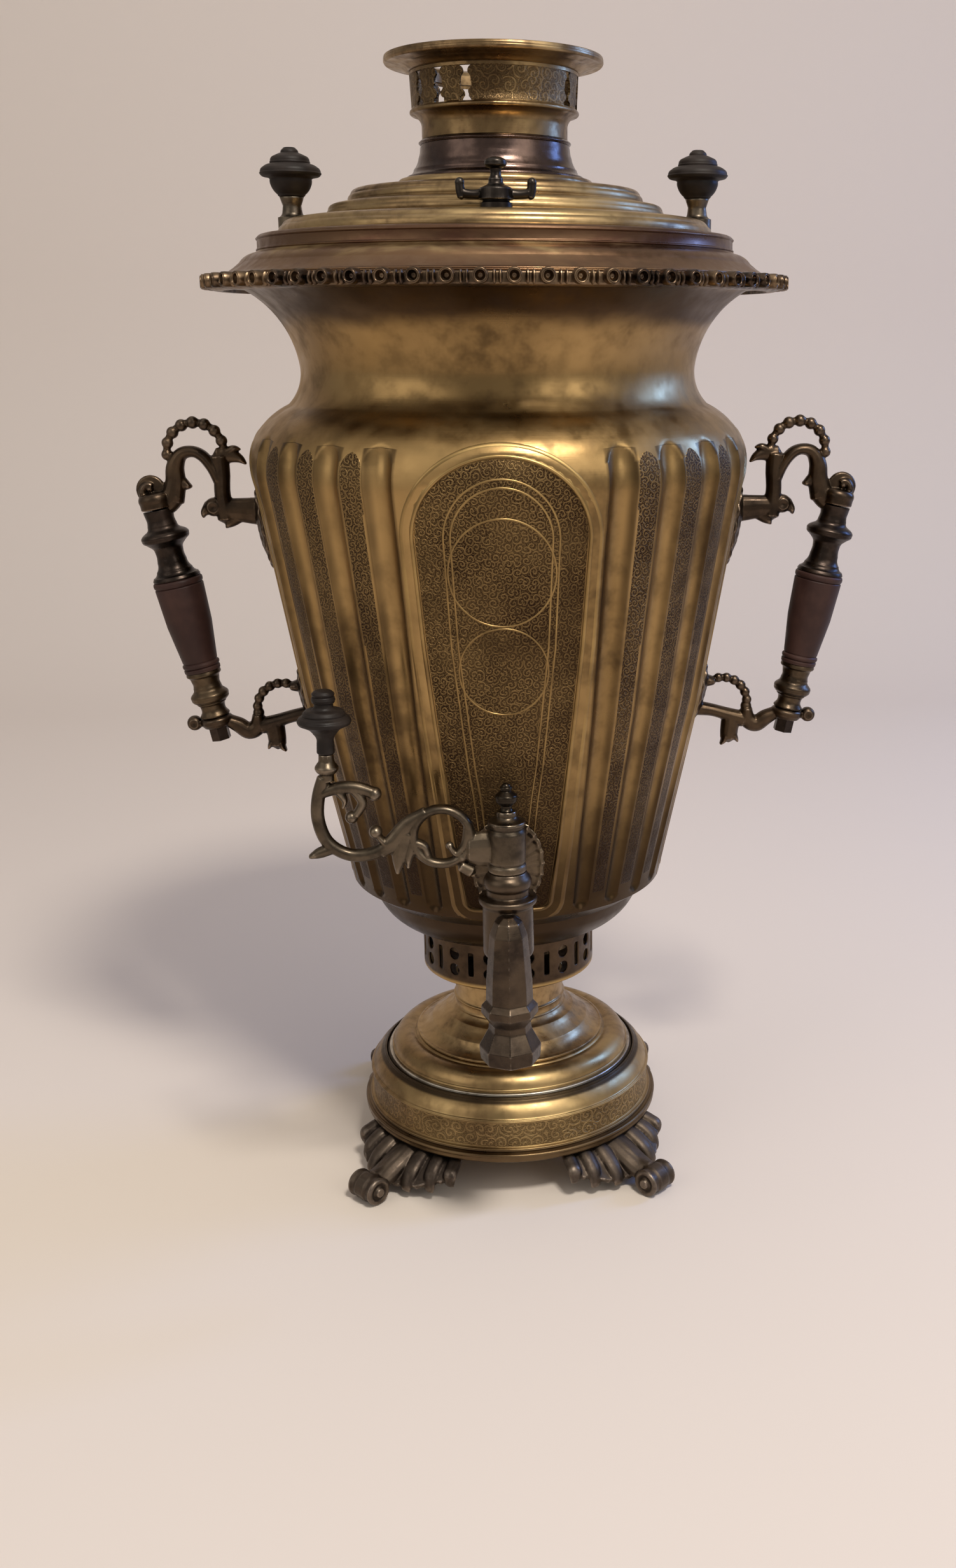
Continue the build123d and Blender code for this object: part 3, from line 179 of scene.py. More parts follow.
def inner_side(path, wall):
    """The inner side of a sheet, from the end of its path back to the start."""
    inner = []
    for place, point in enumerate(path):
        before = path[max(place - 1, 0)]
        after = path[min(place + 1, len(path) - 1)]
        steps = [point - before, after - point]
        along = [step.normalized() for step in steps if step.length > 1e-6]
        sides = [Vector((-step.y, step.x)) for step in along]
        side = sum(sides, Vector((0, 0)))
        side = side / max(side.length_squared / len(sides), 0.3 * len(sides))
        inner.append(point + side * wall)
    return inner[::-1]


def spline(stations, per_span=7):
    """Smooth run of stations (tuples of numbers), with several steps in each span."""
    run = []
    last = len(stations) - 1
    for place in range(last):
        quad = [stations[max(place - 1, 0)], stations[place], stations[place + 1],
                stations[min(place + 2, last)]]
        for step in range(per_span):
            t = step / per_span
            run.append(tuple(
                0.5 * (2 * b + (c - a) * t + (2 * a - 5 * b + 4 * c - d) * t * t
                       + (3 * b - a - 3 * c + d) * t ** 3)
                for a, b, c, d in zip(*quad)))
    return run + [tuple(stations[-1])]


def evaluated(piece):
    """A plain mesh of a piece with its modifiers."""
    graph = bpy.context.evaluated_depsgraph_get()
    return bpy.data.meshes.new_from_object(piece.evaluated_get(graph))


def write_wear(mesh, values):
    mesh.attributes.new("wear", "FLOAT", "POINT").data.foreach_set("value", values)


def mark_wear(mesh):
    """Writes how far each vertex stands out of its neighbours: 0 in hollows, 1 on worn edges."""
    shape = bmesh.new()
    shape.from_mesh(mesh)
    shape.normal_update()
    values = []
    for vertex in shape.verts:
        around = [edge.other_vert(vertex) for edge in vertex.link_edges]
        if not around:
            values.append(0.5)
            continue
        mean = sum((other.co for other in around), Vector()) / len(around)
        size = sum((other.co - vertex.co).length for other in around) / len(around)
        values.append((vertex.co - mean).dot(vertex.normal) / max(size, 1e-9))
    for _ in range(2):
        values = [
            0.5 * values[vertex.index]
            + 0.5 * (sum(values[edge.other_vert(vertex).index] for edge in vertex.link_edges)
                     / max(1, len(vertex.link_edges)))
            for vertex in shape.verts
        ]
    shape.free()
    write_wear(mesh, [min(1.0, max(0.0, 0.5 + value * 2.2)) for value in values])


def fused(name, shape, material, voxel, passes, most=60000):
    """One casting from overlapping closed forms: remeshed, smoothed and given its wear marks."""
    bmesh.ops.recalc_face_normals(shape, faces=shape.faces)
    mesh = bpy.data.meshes.new(name)
    shape.to_mesh(mesh)
    shape.free()
    piece = placed(name, mesh)
    remesh = piece.modifiers.new("remesh", "REMESH")
    remesh.mode = "VOXEL"
    remesh.voxel_size = voxel
    smooth = piece.modifiers.new("smooth", "SMOOTH")
    smooth.factor = 0.5
    smooth.iterations = passes
    baked = evaluated(piece)
    triangles = 2 * len(baked.polygons)
    if triangles > most:
        piece.modifiers.clear()
        piece.data = baked
        piece.modifiers.new("thin", "DECIMATE").ratio = most / triangles
        baked = evaluated(piece)
    piece.modifiers.clear()
    piece.data = baked
    baked.name = name
    baked.transform(Matrix.Scale(MM, 4))
    baked.shade_smooth()
    baked.materials.clear()
    baked.materials.append(material)
    mark_wear(baked)
    return piece


def mirrored(piece, name):
    """A copy on the other side of the YZ plane."""
    mesh = piece.data.copy()
    mesh.name = name
    mesh.transform(Matrix.Diagonal((-1, 1, 1, 1)))
    mesh.flip_normals()
    return placed(name, mesh)


def merged(node_name):
    """A built node as a bmesh in metres, merged from its loose triangles."""
    shape = bmesh.new()
    shape.from_mesh(frame["nodes"][node_name].data)
    bmesh.ops.remove_doubles(shape, verts=shape.verts, dist=MERGE)
    return shape


def dressed(node_name, name, material, sharp=30.0):
    """A smooth-shaded, merged copy of a built node."""
    mesh = frame["nodes"][node_name].data.copy()
    shape = merged(node_name)
    shape.to_mesh(mesh)
    shape.free()
    mesh.name = name
    mesh.shade_smooth()
    mesh.set_sharp_from_angle(angle=math.radians(sharp))
    mesh.materials.clear()
    mesh.materials.append(material)
    write_wear(mesh, [EVEN_WEAR] * len(mesh.vertices))
    return placed(name, mesh)


def recast(node_name, name, material, voxel, passes):
    """A softened casting from a copy of a built node."""
    shape = merged(node_name)
    bmesh.ops.scale(shape, verts=shape.verts, vec=(TO_MM, TO_MM, TO_MM))
    return fused(name, shape, material, voxel, passes)


# --- Node helpers ---------------------------------------------------------------------------------

def node(tree, kind, inputs=None, **settings):
    """A node with its settings, values and links in one line."""
    made = tree.nodes.new(kind)
    for key, value in settings.items():
        setattr(made, key, value)
    for key, value in (inputs or {}).items():
        if isinstance(value, bpy.types.NodeSocket):
            tree.links.new(value, made.inputs[key])
        else:
            made.inputs[key].default_value = value
    return made


def maths(tree, operation, first, second=0.0, clamp=False):
    return node(tree, "ShaderNodeMath", {0: first, 1: second}, operation=operation,
                use_clamp=clamp).outputs[0]


def vector_maths(tree, operation, first, second):
    return node(tree, "ShaderNodeVectorMath", {0: first, 1: second}, operation=operation).outputs[0]


def times(tree, first, second):
    return maths(tree, "MULTIPLY", first, second)


def plus(tree, first, second):
    return maths(tree, "ADD", first, second)


def span(tree, value, low, high, to_low=0.0, to_high=1.0):
    """A value's place between low and high, mapped to another range with soft ends."""
    return node(tree, "ShaderNodeMapRange",
                {"Value": value, "From Min": low, "From Max": high, "To Min": to_low,
                 "To Max": to_high}, interpolation_type="SMOOTHSTEP").outputs["Result"]


def between(tree, level, low, high, soft=0.2):
    """One between two heights in millimetres, which fades over a soft edge."""
    return times(tree, span(tree, level, (low - soft) * MM, (low + soft) * MM),
                 span(tree, level, (high + soft) * MM, (high - soft) * MM))


def split(tree, vector):
    """The X, Y and Z outputs of a vector."""
    return node(tree, "ShaderNodeSeparateXYZ", {0: vector}).outputs


def object_place(tree):
    return node(tree, "ShaderNodeTexCoord").outputs["Object"]


def speckle(tree, where, scale, detail=3.0, rough=0.55, warp=0.0):
    return node(tree, "ShaderNodeTexNoise", {"Vector": where, "Scale": scale, "Detail": detail,
                                             "Roughness": rough, "Distortion": warp}).outputs["Fac"]


def blend_colour(tree, factor, first, second):
    made = node(tree, "ShaderNodeMix", data_type="RGBA", blend_type="MIX")
    for place, value in ((0, factor), (6, first), (7, second)):
        socket = made.inputs[place]
        if isinstance(value, bpy.types.NodeSocket):
            tree.links.new(value, socket)
        elif isinstance(value, tuple):
            socket.default_value = (*value, 1.0)
        else:
            socket.default_value = value
    return made.outputs[2]


def stretched(tree, where, sizes):
    return node(tree, "ShaderNodeMapping", {"Vector": where, "Scale": sizes}).outputs[0]


def bumped(tree, height, strength, distance, below=None):
    inputs = {"Height": height, "Strength": strength, "Distance": distance}
    if below:
        inputs["Normal"] = below
    return node(tree, "ShaderNodeBump", inputs).outputs[0]


def attribute(tree, name):
    return node(tree, "ShaderNodeAttribute", attribute_name=name).outputs["Fac"]


def new_finish(name, metallic):
    """A material with its bare shader: returns it, its tree, the shader and its coordinates."""
    material = bpy.data.materials.new(name)
    material.use_nodes = True
    tree = material.node_tree
    shader = tree.nodes["Principled BSDF"]
    shader.inputs["Metallic"].default_value = metallic
    return material, tree, shader, object_place(tree)


def link_surface(tree, shader, colour, roughness, normal):
    for socket, value in (("Base Color", colour), ("Roughness", roughness), ("Normal", normal)):
        tree.links.new(value, shader.inputs[socket])


RAGGED_FROM = 2                       # millimetres of softness from which a band's edge is ragged


def aged_metal(name, bright, dull, grime, rough=(0.26, 0.5), patch=22.0, smear=(1, 1, 1),
               wear=False, grime_share=0.42, heights=()):
    """Old metal: broad patches of two tones, grime, fine scratches, and worn edges where asked.

    Each height is (low, high, colour, strength, softness): a band in millimetres that shades to a
    colour, with ragged edges where it is softer than RAGGED_FROM."""
    material, tree, shader, where = new_finish(name, 1.0)
    broad = speckle(tree, stretched(tree, where, smear), patch, 4.0, 0.6, 0.6)
    fine = speckle(tree, where, patch * 9, 3.0, 0.6)
    dust = speckle(tree, where, 900.0, 2.0, 0.5)
    colour = blend_colour(tree, span(tree, broad, 0.36, 0.64), dull, bright)
    spots = times(tree, span(tree, fine, 0.40, 0.72), span(tree, broad, 0.7, 0.3))
    dirty = maths(tree, "MULTIPLY", spots, grime_share * 1.6, clamp=True)
    colour = blend_colour(tree, dirty, colour, grime)
    if heights:
        z = split(tree, where)["Z"]
        ragged = plus(tree, z, times(tree, maths(tree, "SUBTRACT", broad, 0.5), 0.03))
        for low, high, tone, strength, soft in heights:
            inside = between(tree, ragged if soft > RAGGED_FROM else z, low, high, soft)
            colour = blend_colour(tree, times(tree, inside, strength), colour, tone)
    mixed = plus(tree, times(tree, broad, 0.5), times(tree, fine, 0.5))
    roughness = span(tree, mixed, 0.34, 0.68, rough[0], rough[1])
    if wear:
        worn = attribute(tree, "wear")
        edge = times(tree, span(tree, worn, 0.56, 0.8), span(tree, fine, 0.25, 0.55))
        colour = blend_colour(tree, edge, colour, tuple(min(1.0, c * 1.9 + 0.05) for c in bright))
        hollow = span(tree, worn, 0.46, 0.3)
        colour = blend_colour(tree, times(tree, hollow, 0.75), colour, grime)
        roughness = maths(tree, "SUBTRACT", roughness, times(tree, edge, 0.12))
    scratches = speckle(tree, stretched(tree, where, (14, 14, 700)), 3.0, 2.0, 0.5)
    normal = bumped(tree, scratches, 0.05, 0.0004)
    normal = bumped(tree, fine, 0.10, 0.0006, normal)
    normal = bumped(tree, dust, 0.05, 0.0002, normal)
    link_surface(tree, shader, colour, roughness, normal)
    return material


def lacquer(name, tone, worn):
    """Matt paint or oiled wood, worn to a lighter tone in patches."""
    material, tree, shader, where = new_finish(name, 0.0)
    shader.inputs["Specular IOR Level"].default_value = 0.22
    broad = speckle(tree, where, 60.0, 3.0)
    link_surface(tree, shader, blend_colour(tree, span(tree, broad, 0.35, 0.7), tone, worn),
                 span(tree, broad, 0.3, 0.7, 0.42, 0.62),
                 bumped(tree, speckle(tree, where, 500.0), 0.12, 0.0004))
    return material


# --- Finishes -------------------------------------------------------------------------------------
# Each metal has its bright tone, its dull tone and its grime.

GRIME = (0.05, 0.032, 0.019)
brass = aged_metal("brass_aged", (0.40, 0.275, 0.13), (0.22, 0.145, 0.07), GRIME)
brass_base = aged_metal("brass_base", (0.46, 0.32, 0.155), (0.26, 0.17, 0.085), GRIME)
collar_metal = aged_metal(
    "collar_dark", (0.10, 0.066, 0.040), (0.055, 0.037, 0.025), (0.028, 0.02, 0.014),
    heights=((102.5, 106.0, (0.50, 0.34, 0.14), 0.85, 1.2),))
brass_crown = aged_metal("brass_crown", (0.42, 0.30, 0.155), (0.22, 0.145, 0.075), GRIME)
copper = aged_metal("copper_dark", (0.14, 0.094, 0.076), (0.080, 0.055, 0.048),
                    (0.04, 0.028, 0.026), rough=(0.18, 0.36))
tube_metal = aged_metal("tube_sooty", (0.30, 0.22, 0.13), (0.14, 0.10, 0.07), (0.04, 0.03, 0.025))
bronze = aged_metal("bronze_cast", (0.095, 0.064, 0.040), (0.048, 0.034, 0.025),
                    (0.018, 0.014, 0.011), wear=True)
tap_metal = aged_metal("tap_bronze", (0.090, 0.066, 0.046), (0.044, 0.033, 0.026),
                       (0.022, 0.017, 0.014), rough=(0.2, 0.42), wear=True)
foot_metal = aged_metal("foot_bronze", (0.115, 0.088, 0.066), (0.065, 0.05, 0.04),
                        (0.024, 0.018, 0.015), rough=(0.38, 0.62), wear=True)
vent_metal = aged_metal("vent_dark", (0.06, 0.05, 0.042), (0.028, 0.023, 0.02),
                        (0.012, 0.010, 0.009), wear=True)
bronze_turned = aged_metal("bronze_turned", (0.12, 0.085, 0.052), (0.06, 0.044, 0.031),
                           (0.022, 0.017, 0.013), patch=40.0)
dark_turned = aged_metal("bronze_turned_dark", (0.058, 0.042, 0.034), (0.034, 0.026, 0.022),
                         (0.015, 0.012, 0.010), patch=40.0)
stem_metal = aged_metal("stem_bronze", (0.16, 0.13, 0.095), (0.08, 0.064, 0.05),
                        (0.028, 0.022, 0.018), patch=40.0)
key_metal = aged_metal("key_bronze", (0.15, 0.117, 0.082), (0.07, 0.055, 0.04),
                       (0.026, 0.021, 0.016), wear=True)
escutcheon_metal = aged_metal("escutcheon_bronze", (0.14, 0.105, 0.068), (0.07, 0.052, 0.036),
                              (0.022, 0.017, 0.013), wear=True)
iron = aged_metal("iron_cast", (0.10, 0.09, 0.085), (0.06, 0.055, 0.05), (0.03, 0.025, 0.02),
                  rough=(0.5, 0.8))
steel = aged_metal("steel_dull", (0.42, 0.41, 0.39), (0.30, 0.28, 0.26), (0.12, 0.09, 0.07))
black = lacquer("lacquer_black", (0.011, 0.008, 0.007), (0.026, 0.019, 0.016))
packing = lacquer("packing_fibre", (0.05, 0.04, 0.03), (0.09, 0.07, 0.05))
wood = lacquer("wood_red_brown", (0.030, 0.014, 0.012), (0.052, 0.025, 0.020))


# --- Urn ------------------------------------------------------------------------------------------

URN_OUTLINE = [
    (40.05, 130.5), (47.5, 130.5), (69.6, 145.5, 3.5), (71.1, 150.5), (82.6, 158.5),
    (123.3, 366.0, 2.5), (119.0, 390.0, 2.6), (103.6, 402.6, 1.3), (97.0, 420.0, -2.1),
    (122.0, 456.0, -5.4), (131.0, 456.5),
]
urn_path = arc_points(URN_OUTLINE, 4.0)


def wall_radius(z):
    """Radius of the urn's outline at a height."""
    for low, high in zip(urn_path, urn_path[1:]):
        if low.y <= z <= high.y and high.y > low.y:
            return low.x + (high.x - low.x) * (z - low.y) / (high.y - low.y)
    return urn_path[-1].x


def stepped(table, place):
    """Value between (place, value) pairs."""
    for (low, first), (high, second) in zip(table, table[1:]):
        if place <= high:
            return first + (second - first) * max(0.0, place - low) / (high - low)
    return table[-1][1]


# Half-widths of a panel in degrees, by height: its engraved field, and the line frame inside it.
FIELD_EDGE = [(160, 13.7), (165, 13.9), (200, 15.7), (240, 16.9), (300, 18.5), (350, 18.9)]
INNER_EDGE = [(160, 6.6), (200, 7.9), (225, 9.0), (240, 10.0), (300, 12.2), (350, 12.4)]
MEDALLIONS = ((335.0, 24.4), (289.0, 20.6))                    # height and radius
ARCH_RISE = PANEL_APEX - PANEL_SPRING
ARCH_RADIUS = 36                      # mean radius of a panel's arch


def arch_curve(edges, foot, apex, shrink=0.0):
    """Closed arch on the wall as (arc length, height) points, from the foot's middle round."""
    start = foot + PANEL_CORNER
    half = [(stepped(edges, z) * math.pi / 180 * wall_radius(z) - shrink, z)
            for z in [start + (PANEL_SPRING - start) * t / 44 for t in range(45)]]
    wide = half[-1][0]
    rise = apex - shrink - PANEL_SPRING
    inside = half[0][0] - PANEL_CORNER
    turns = [t * math.pi / 12 for t in range(6)]
    run = [(inside * t / 6, foot) for t in range(6)]
    run += [(inside + PANEL_CORNER * math.sin(turn), start - PANEL_CORNER * math.cos(turn))
            for turn in turns]
    run += half
    run += [(wide * math.cos(t * math.pi / 64), PANEL_SPRING + rise * math.sin(t * math.pi / 64))
            for t in range(1, 33)]
    left = [(-x, z) for x, z in run[1:-1]]
    return [Vector(point) for point in run + left[::-1]]


def circle_curve(z, radius):
    ways = [2 * math.pi * t / 72 for t in range(72)]
    return [Vector((radius * math.cos(way), z + radius * math.sin(way))) for way in ways]


def on_wall(arc, z, proud, quarter, recess):
    """Point of the wall at an arc length from a panel's middle. The front panel is quarter 0."""
    radius = wall_radius(z)
    angle = math.radians(quarter - 90) + arc / radius
    reach = radius - recess + proud
    return Vector((reach * math.cos(angle), reach * math.sin(angle), z))


def flute_share(z):
    """How far up its flute a height lies, from 0 to 1."""
    return min(1.0, max(0.0, (z - FLUTE_BOTTOM) / (FLUTE_TOP - FLUTE_BOTTOM)))


def flute_half(z):
    return 4.5 + 2.8 * flute_share(z)


def flute_depth(off, z):
    """Depth of a flute with a round head and foot, off its middle by a length."""
    past = max(0.0, z - FLUTE_TOP, FLUTE_BOTTOM - z)
    spot = (off ** 2 + (past * (1.0 if z < FLUTE_TOP else 0.72)) ** 2) / flute_half(z) ** 2
    return (2.3 + 1.5 * flute_share(z)) * max(0.0, 1.0 - spot)


def field_inset(arc, z):
    """How far inside the edge of the engraved field a point of the wall lies."""
    half = math.radians(stepped(FIELD_EDGE, z)) * wall_radius(z)
    if z > PANEL_SPRING:
        return (1 - math.hypot(arc / half, (z - PANEL_SPRING) / ARCH_RISE)) * ARCH_RADIUS
    inside = half - abs(arc)
    above = z - PANEL_FOOT
    if inside < PANEL_CORNER and above < PANEL_CORNER:
        return PANEL_CORNER - math.hypot(PANEL_CORNER - inside, PANEL_CORNER - above)
    return min(inside, above)


WALL_ROWS = ((158.5, 0.9, 12), (169.5, 2.02, 99), (370.5, 1.05, 22))   # first height, step, count
OUTER_ROWS = (158, 394)               # heights past which the outline's own points are rows
INNER_ROWS = (161, 392)               # the same for the lining
COLUMNS = 96                          # in each quarter
OUTSIDE = -9.0                        # a place well outside a field or rib
WORKED = (159, 402)                   # heights between which the wall is not plain
FIELD_SLOPE = 1.5                     # width of the slope down into a sunk field
INNER_RIB, OUTER_RIB = (29, 35.4), 41.6   # degrees from the middle of a panel: ribs beside flutes


def wall_point(angle, radius, z, outside):
    """Reach of a point of the wall, with its places in the field, the rib and the flute."""
    reach, field, rib, flute = radius, OUTSIDE, OUTSIDE, -1.0
    if not WORKED[0] < z < WORKED[1]:
        return reach, field, rib, flute
    field = field_inset(math.radians(angle) * radius, z) if outside else OUTSIDE
    if field > -FIELD_SLOPE:
        reach -= RECESS * min(1.0, (field + FIELD_SLOPE) / FIELD_SLOPE)
    half = flute_half(z)
    gaps = []
    for centre in FLUTES:
        off = math.radians(abs(angle) - centre) * radius
        reach -= flute_depth(off, z)
        gaps.append(abs(off) - half)
        if FLUTE_BOTTOM - 5 < z < FLUTE_TOP + 9:
            flute = max(flute, 1 - abs(off) / half)
    if INNER_RIB[0] < abs(angle) < INNER_RIB[1] or abs(angle) > OUTER_RIB:
        top = 387.0 - 0.16 * (6.5 - min(6.5, min(gaps))) ** 2
        rib = min(min(gaps) - 0.7, top - z, z - 168.0)
    return reach, field, rib, flute


def wall_outlines():
    """The urn's outside from its foot to its lip, and its lining from the lip back."""
    rows = [first + step * place for first, step, count in WALL_ROWS for place in range(count)]
    outer = [point for point in urn_path if point.y < OUTER_ROWS[0]]
    outer += [Vector((wall_radius(z), z)) for z in rows]
    outer += [point for point in urn_path if point.y > OUTER_ROWS[1]]
    outer += [Vector((LIP_R, LIP_TOP))]
    lining = [Vector((point.x, min(point.y, LIP_TOP)))
              for point in inner_side(arc_points(URN_OUTLINE, 9.0), SKIN)]
    inner = [point for point in lining if point.y > INNER_ROWS[1]]
    inner += [Vector((wall_radius(z) - SKIN, z)) for z in range(384, 164, -8)]
    inner += [point for point in lining if point.y < INNER_ROWS[0]]
    inner[-1] = Vector((URN_OUTLINE[0][0], URN_OUTLINE[0][1] + SKIN))
    return outer, inner


def make_urn_skin(material):
    """Closed shell: an outside with sunk fields and flutes, and a lining with the flutes."""
    outer, inner = wall_outlines()
    shape = bmesh.new()
    field_layer = shape.verts.layers.float.new("field")
    rib_layer = shape.verts.layers.float.new("rib")
    flute_layer = shape.verts.layers.float.new("flute")
    wall_layer = shape.loops.layers.uv.new("wall")
    loops = []
    for place, point in enumerate(outer + inner):
        z = point.y
        swing = math.degrees(flute_half(z) / max(point.x, 80.0))
        edge = min(stepped(FIELD_EDGE, z), 18.9)
        columns = [(0, 0), (10, edge), (14, FLUTES[0] - swing), (26, FLUTES[0] + swing),
                   (32, FLUTES[1] - swing), (44, FLUTES[1] + swing), (48, 45.0)]
        ring = []
        for column in range(4 * COLUMNS):
            quarter, step = divmod(column + COLUMNS // 2, COLUMNS)
            step -= COLUMNS // 2
            angle = math.copysign(stepped(columns, abs(step)), step)
            reach, field, rib, flute = wall_point(angle, point.x, z, place < len(outer))
            way = math.radians(quarter * 90 - 90 + angle)
            vertex = shape.verts.new((reach * math.cos(way), reach * math.sin(way), z))
            vertex[field_layer], vertex[rib_layer], vertex[flute_layer] = field, rib, flute
            ring.append((vertex, math.radians(angle) * point.x, quarter))
        loops.append((ring, z))
    for (low, low_z), (high, high_z) in zip(loops, loops[1:] + loops[:1]):
        for column in range(4 * COLUMNS):
            after = (column + 1) % (4 * COLUMNS)
            face = shape.faces.new((low[column][0], low[after][0], high[after][0], high[column][0]))
            here = low[column][2]
            corners = ((low[column], low_z), (low[after], low_z),
                       (high[after], high_z), (high[column], high_z))
            for loop, ((_, arc, quarter), z) in zip(face.loops, corners):
                across = arc if quarter == here else -arc
                loop[wall_layer].uv = (across * MM * 10 + here * 3, z * MM * 10)
    return finish_mesh("urn_skin", shape, material, 30.0)


def swept_lines(name, material, curves, profile, recess, widen=0.0):
    """Mouldings along closed curves on all four panels; profile holds (outwards, proud) points."""
    shape = bmesh.new()
    for quarter in (0, 90, 180, 270):
        for curve in curves:
            rings = []
            count = len(curve)
            for place, point in enumerate(curve):
                along = (curve[(place + 1) % count] - curve[place - 1]).normalized()
                side = Vector((along.y, -along.x))
                spread = 1 + widen * max(0.0, (PANEL_SPRING - point.y) / 190)
                rings.append([
                    shape.verts.new(on_wall(
                        point.x + side.x * out * spread, point.y + side.y * out * spread,
                        proud, quarter, recess))
                    for out, proud in profile
                ])
            for low, high in zip(rings, rings[1:] + rings[:1]):
                bridge(shape, low, high)
    return finish_mesh(name, shape, material, 60.0)


def scrolls(tree, where, scale, seed):
    """Height of dense curling leaf work: a spiral in each cell of a loose mosaic."""
    moved = vector_maths(tree, "ADD", where, (seed, seed * 1.7, 0))
    cells = node(tree, "ShaderNodeTexVoronoi",
                 {"Vector": moved, "Scale": scale, "Randomness": 0.75}, voronoi_dimensions="2D")
    parts = split(tree, vector_maths(tree, "SUBTRACT", moved, cells.outputs["Position"]))
    swirl = maths(tree, "ARCTAN2", parts[1], parts[0])
    hand = split(tree, cells.outputs["Color"])
    flip = maths(tree, "SUBTRACT", times(tree, maths(tree, "GREATER_THAN", hand[0], 0.5), 2.0), 1.0)
    reach = times(tree, cells.outputs["Distance"], 15.0)
    wave = plus(tree, times(tree, swirl, flip), plus(tree, reach, times(tree, hand[1], 6.0)))
    return plus(tree, times(tree, maths(tree, "SINE", wave), 0.5), 0.5)


def engraved(name, base, ground, mask_of, tight, depth=0.15, **more):
    """Aged brass with engraved leaf work where the mask is on: bright lines over a dark ground."""
    material = aged_metal(name, *base, **more)
    tree = material.node_tree
    shader = tree.nodes["Principled BSDF"]
    where = object_place(tree)
    wall = node(tree, "ShaderNodeUVMap", uv_map="wall").outputs[0]
    mask = mask_of(tree)
    wander = node(tree, "ShaderNodeTexNoise", {"Vector": wall, "Scale": 9.0 * tight})
    wander = node(tree, "ShaderNodeVectorMath", {0: wander.outputs["Color"], "Scale": 0.03},
                  operation="SCALE").outputs[0]
    bent = vector_maths(tree, "ADD", wall, wander)
    large = span(tree, scrolls(tree, bent, 20.0 * tight, 0.0), 0.58, 0.86)
    small = span(tree, scrolls(tree, bent, 43.0 * tight, 3.1), 0.6, 0.9)
    leaf = maths(tree, "MAXIMUM", large, times(tree, small, 0.6))
    dots = node(tree, "ShaderNodeTexVoronoi", {"Vector": wall, "Scale": 130.0 * tight},
                voronoi_dimensions="2D")
    matted = span(tree, dots.outputs["Distance"], 0.2, 0.6)
    height = plus(tree, leaf, times(tree, matted, -0.18))
    worn = span(tree, speckle(tree, where, 38.0, 4.0), 0.3, 0.75, 0.95, 0.62)
    old_colour, old_rough, old_normal = (shader.inputs[socket].links[0].from_socket
                                         for socket in ("Base Color", "Roughness", "Normal"))
    dark = times(tree, maths(tree, "SUBTRACT", 1.0, leaf), worn)
    cut = times(tree, plus(tree, times(tree, dark, 0.60), depth), mask)
    link_surface(tree, shader, blend_colour(tree, cut, old_colour, ground),
                 plus(tree, old_rough, times(tree, mask, 0.10)),
                 bumped(tree, times(tree, height, mask), 0.75, 0.00035, old_normal))
    return material


def urn_mask(tree):
    """Engraved on the fields inside their edge, and on the ribs between flutes."""
    return maths(tree, "MAXIMUM", span(tree, attribute(tree, "field"), 0.5, 0.9),
                 span(tree, attribute(tree, "rib"), 0.2, 0.7))


def shade_flutes(material):
    """Painted shade along the sides of each flute and along the outer line of the ribs beside it.
    """
    tree = material.node_tree
    base_colour = tree.nodes["Principled BSDF"].inputs["Base Color"]
    place = attribute(tree, "flute")
    side = times(tree, span(tree, place, -0.22, -0.02), span(tree, place, 0.62, 0.1))
    streaks = speckle(tree, stretched(tree, object_place(tree), (1, 1, 0.22)), 60.0, 3.0)
    # grime here is the strength of the painted shade, made weaker or stronger in vertical streaks.
    grime = times(tree, side, span(tree, streaks, 0.25, 0.7, 0.95, 0.45))
    clean = base_colour.links[0].from_socket
    tree.links.new(blend_colour(tree, grime, clean, (0.050, 0.030, 0.015)), base_colour)


# The second height band of brass_engraved, 90 to 215 mm, darkens the lower wall softly: a painted
# reflection of a dark tray beneath the urn.
engraved_urn = engraved(
    "brass_engraved", ((0.42, 0.275, 0.115), (0.235, 0.15, 0.062), (0.055, 0.034, 0.018)),
    (0.026, 0.0135, 0.008), urn_mask, 1.4, 0.44, patch=9.0, grime_share=0.45, smear=(1, 1, 0.6),
    heights=((441, 460, (0.06, 0.038, 0.026), 0.85, 4.0),
             (90, 215, (0.030, 0.0175, 0.009), 0.9, 45.0),
             (120, 159, (0.05, 0.031, 0.019), 0.7, 3.0)))
shade_flutes(engraved_urn)
seat(make_urn_skin(engraved_urn), "urn", "urn_body", slot="brass_body")

# The height band of brass_moulding darkens the mouldings on the lower wall: a painted reflection of
# a dark tray beneath the urn.
brass_line = aged_metal(
    "brass_moulding", (0.42, 0.285, 0.115), (0.25, 0.16, 0.065), (0.07, 0.045, 0.024), patch=9.0,
    grime_share=0.35, heights=((90, 215, (0.09, 0.056, 0.030), 0.75, 40.0),))
FRAME_PROFILE = [
    (0.7, -1.6), (-0.25, -1.0), (-0.1, -0.35), (0.35, 0.15), (0.85, 0.2), (1.3, -0.1), (1.9, -0.45),
    (3.0, -0.55), (4.0, -0.3), (4.8, 0.1), (5.5, 0.22), (6.3, 0.0), (6.9, -0.7), (7.1, -1.8)]
seat(swept_lines("panel_frames", brass_line, [arch_curve(FIELD_EDGE, PANEL_FOOT, PANEL_APEX)],
                 FRAME_PROFILE, 0.0, 0.25), "urn", slot="brass_body")
LINE_PROFILE = [(-0.55, -0.3), (-0.35, 0.12), (0.0, 0.22), (0.35, 0.12), (0.55, -0.3)]
field_lines = [arch_curve(INNER_EDGE, 176.0, 376.5), arch_curve(INNER_EDGE, 179.0, 376.0, 3.2)]
field_lines += [circle_curve(z, radius) for z, radius in MEDALLIONS]
panel_lines = swept_lines("panel_lines", brass_line, field_lines, LINE_PROFILE, RECESS)
seat(panel_lines, "urn", slot="brass_body")


# --- Turned pieces --------------------------------------------------------------------------------

DRUM_R, GALLERY_R = 77.0, 39.9        # radii of the two engraved bands


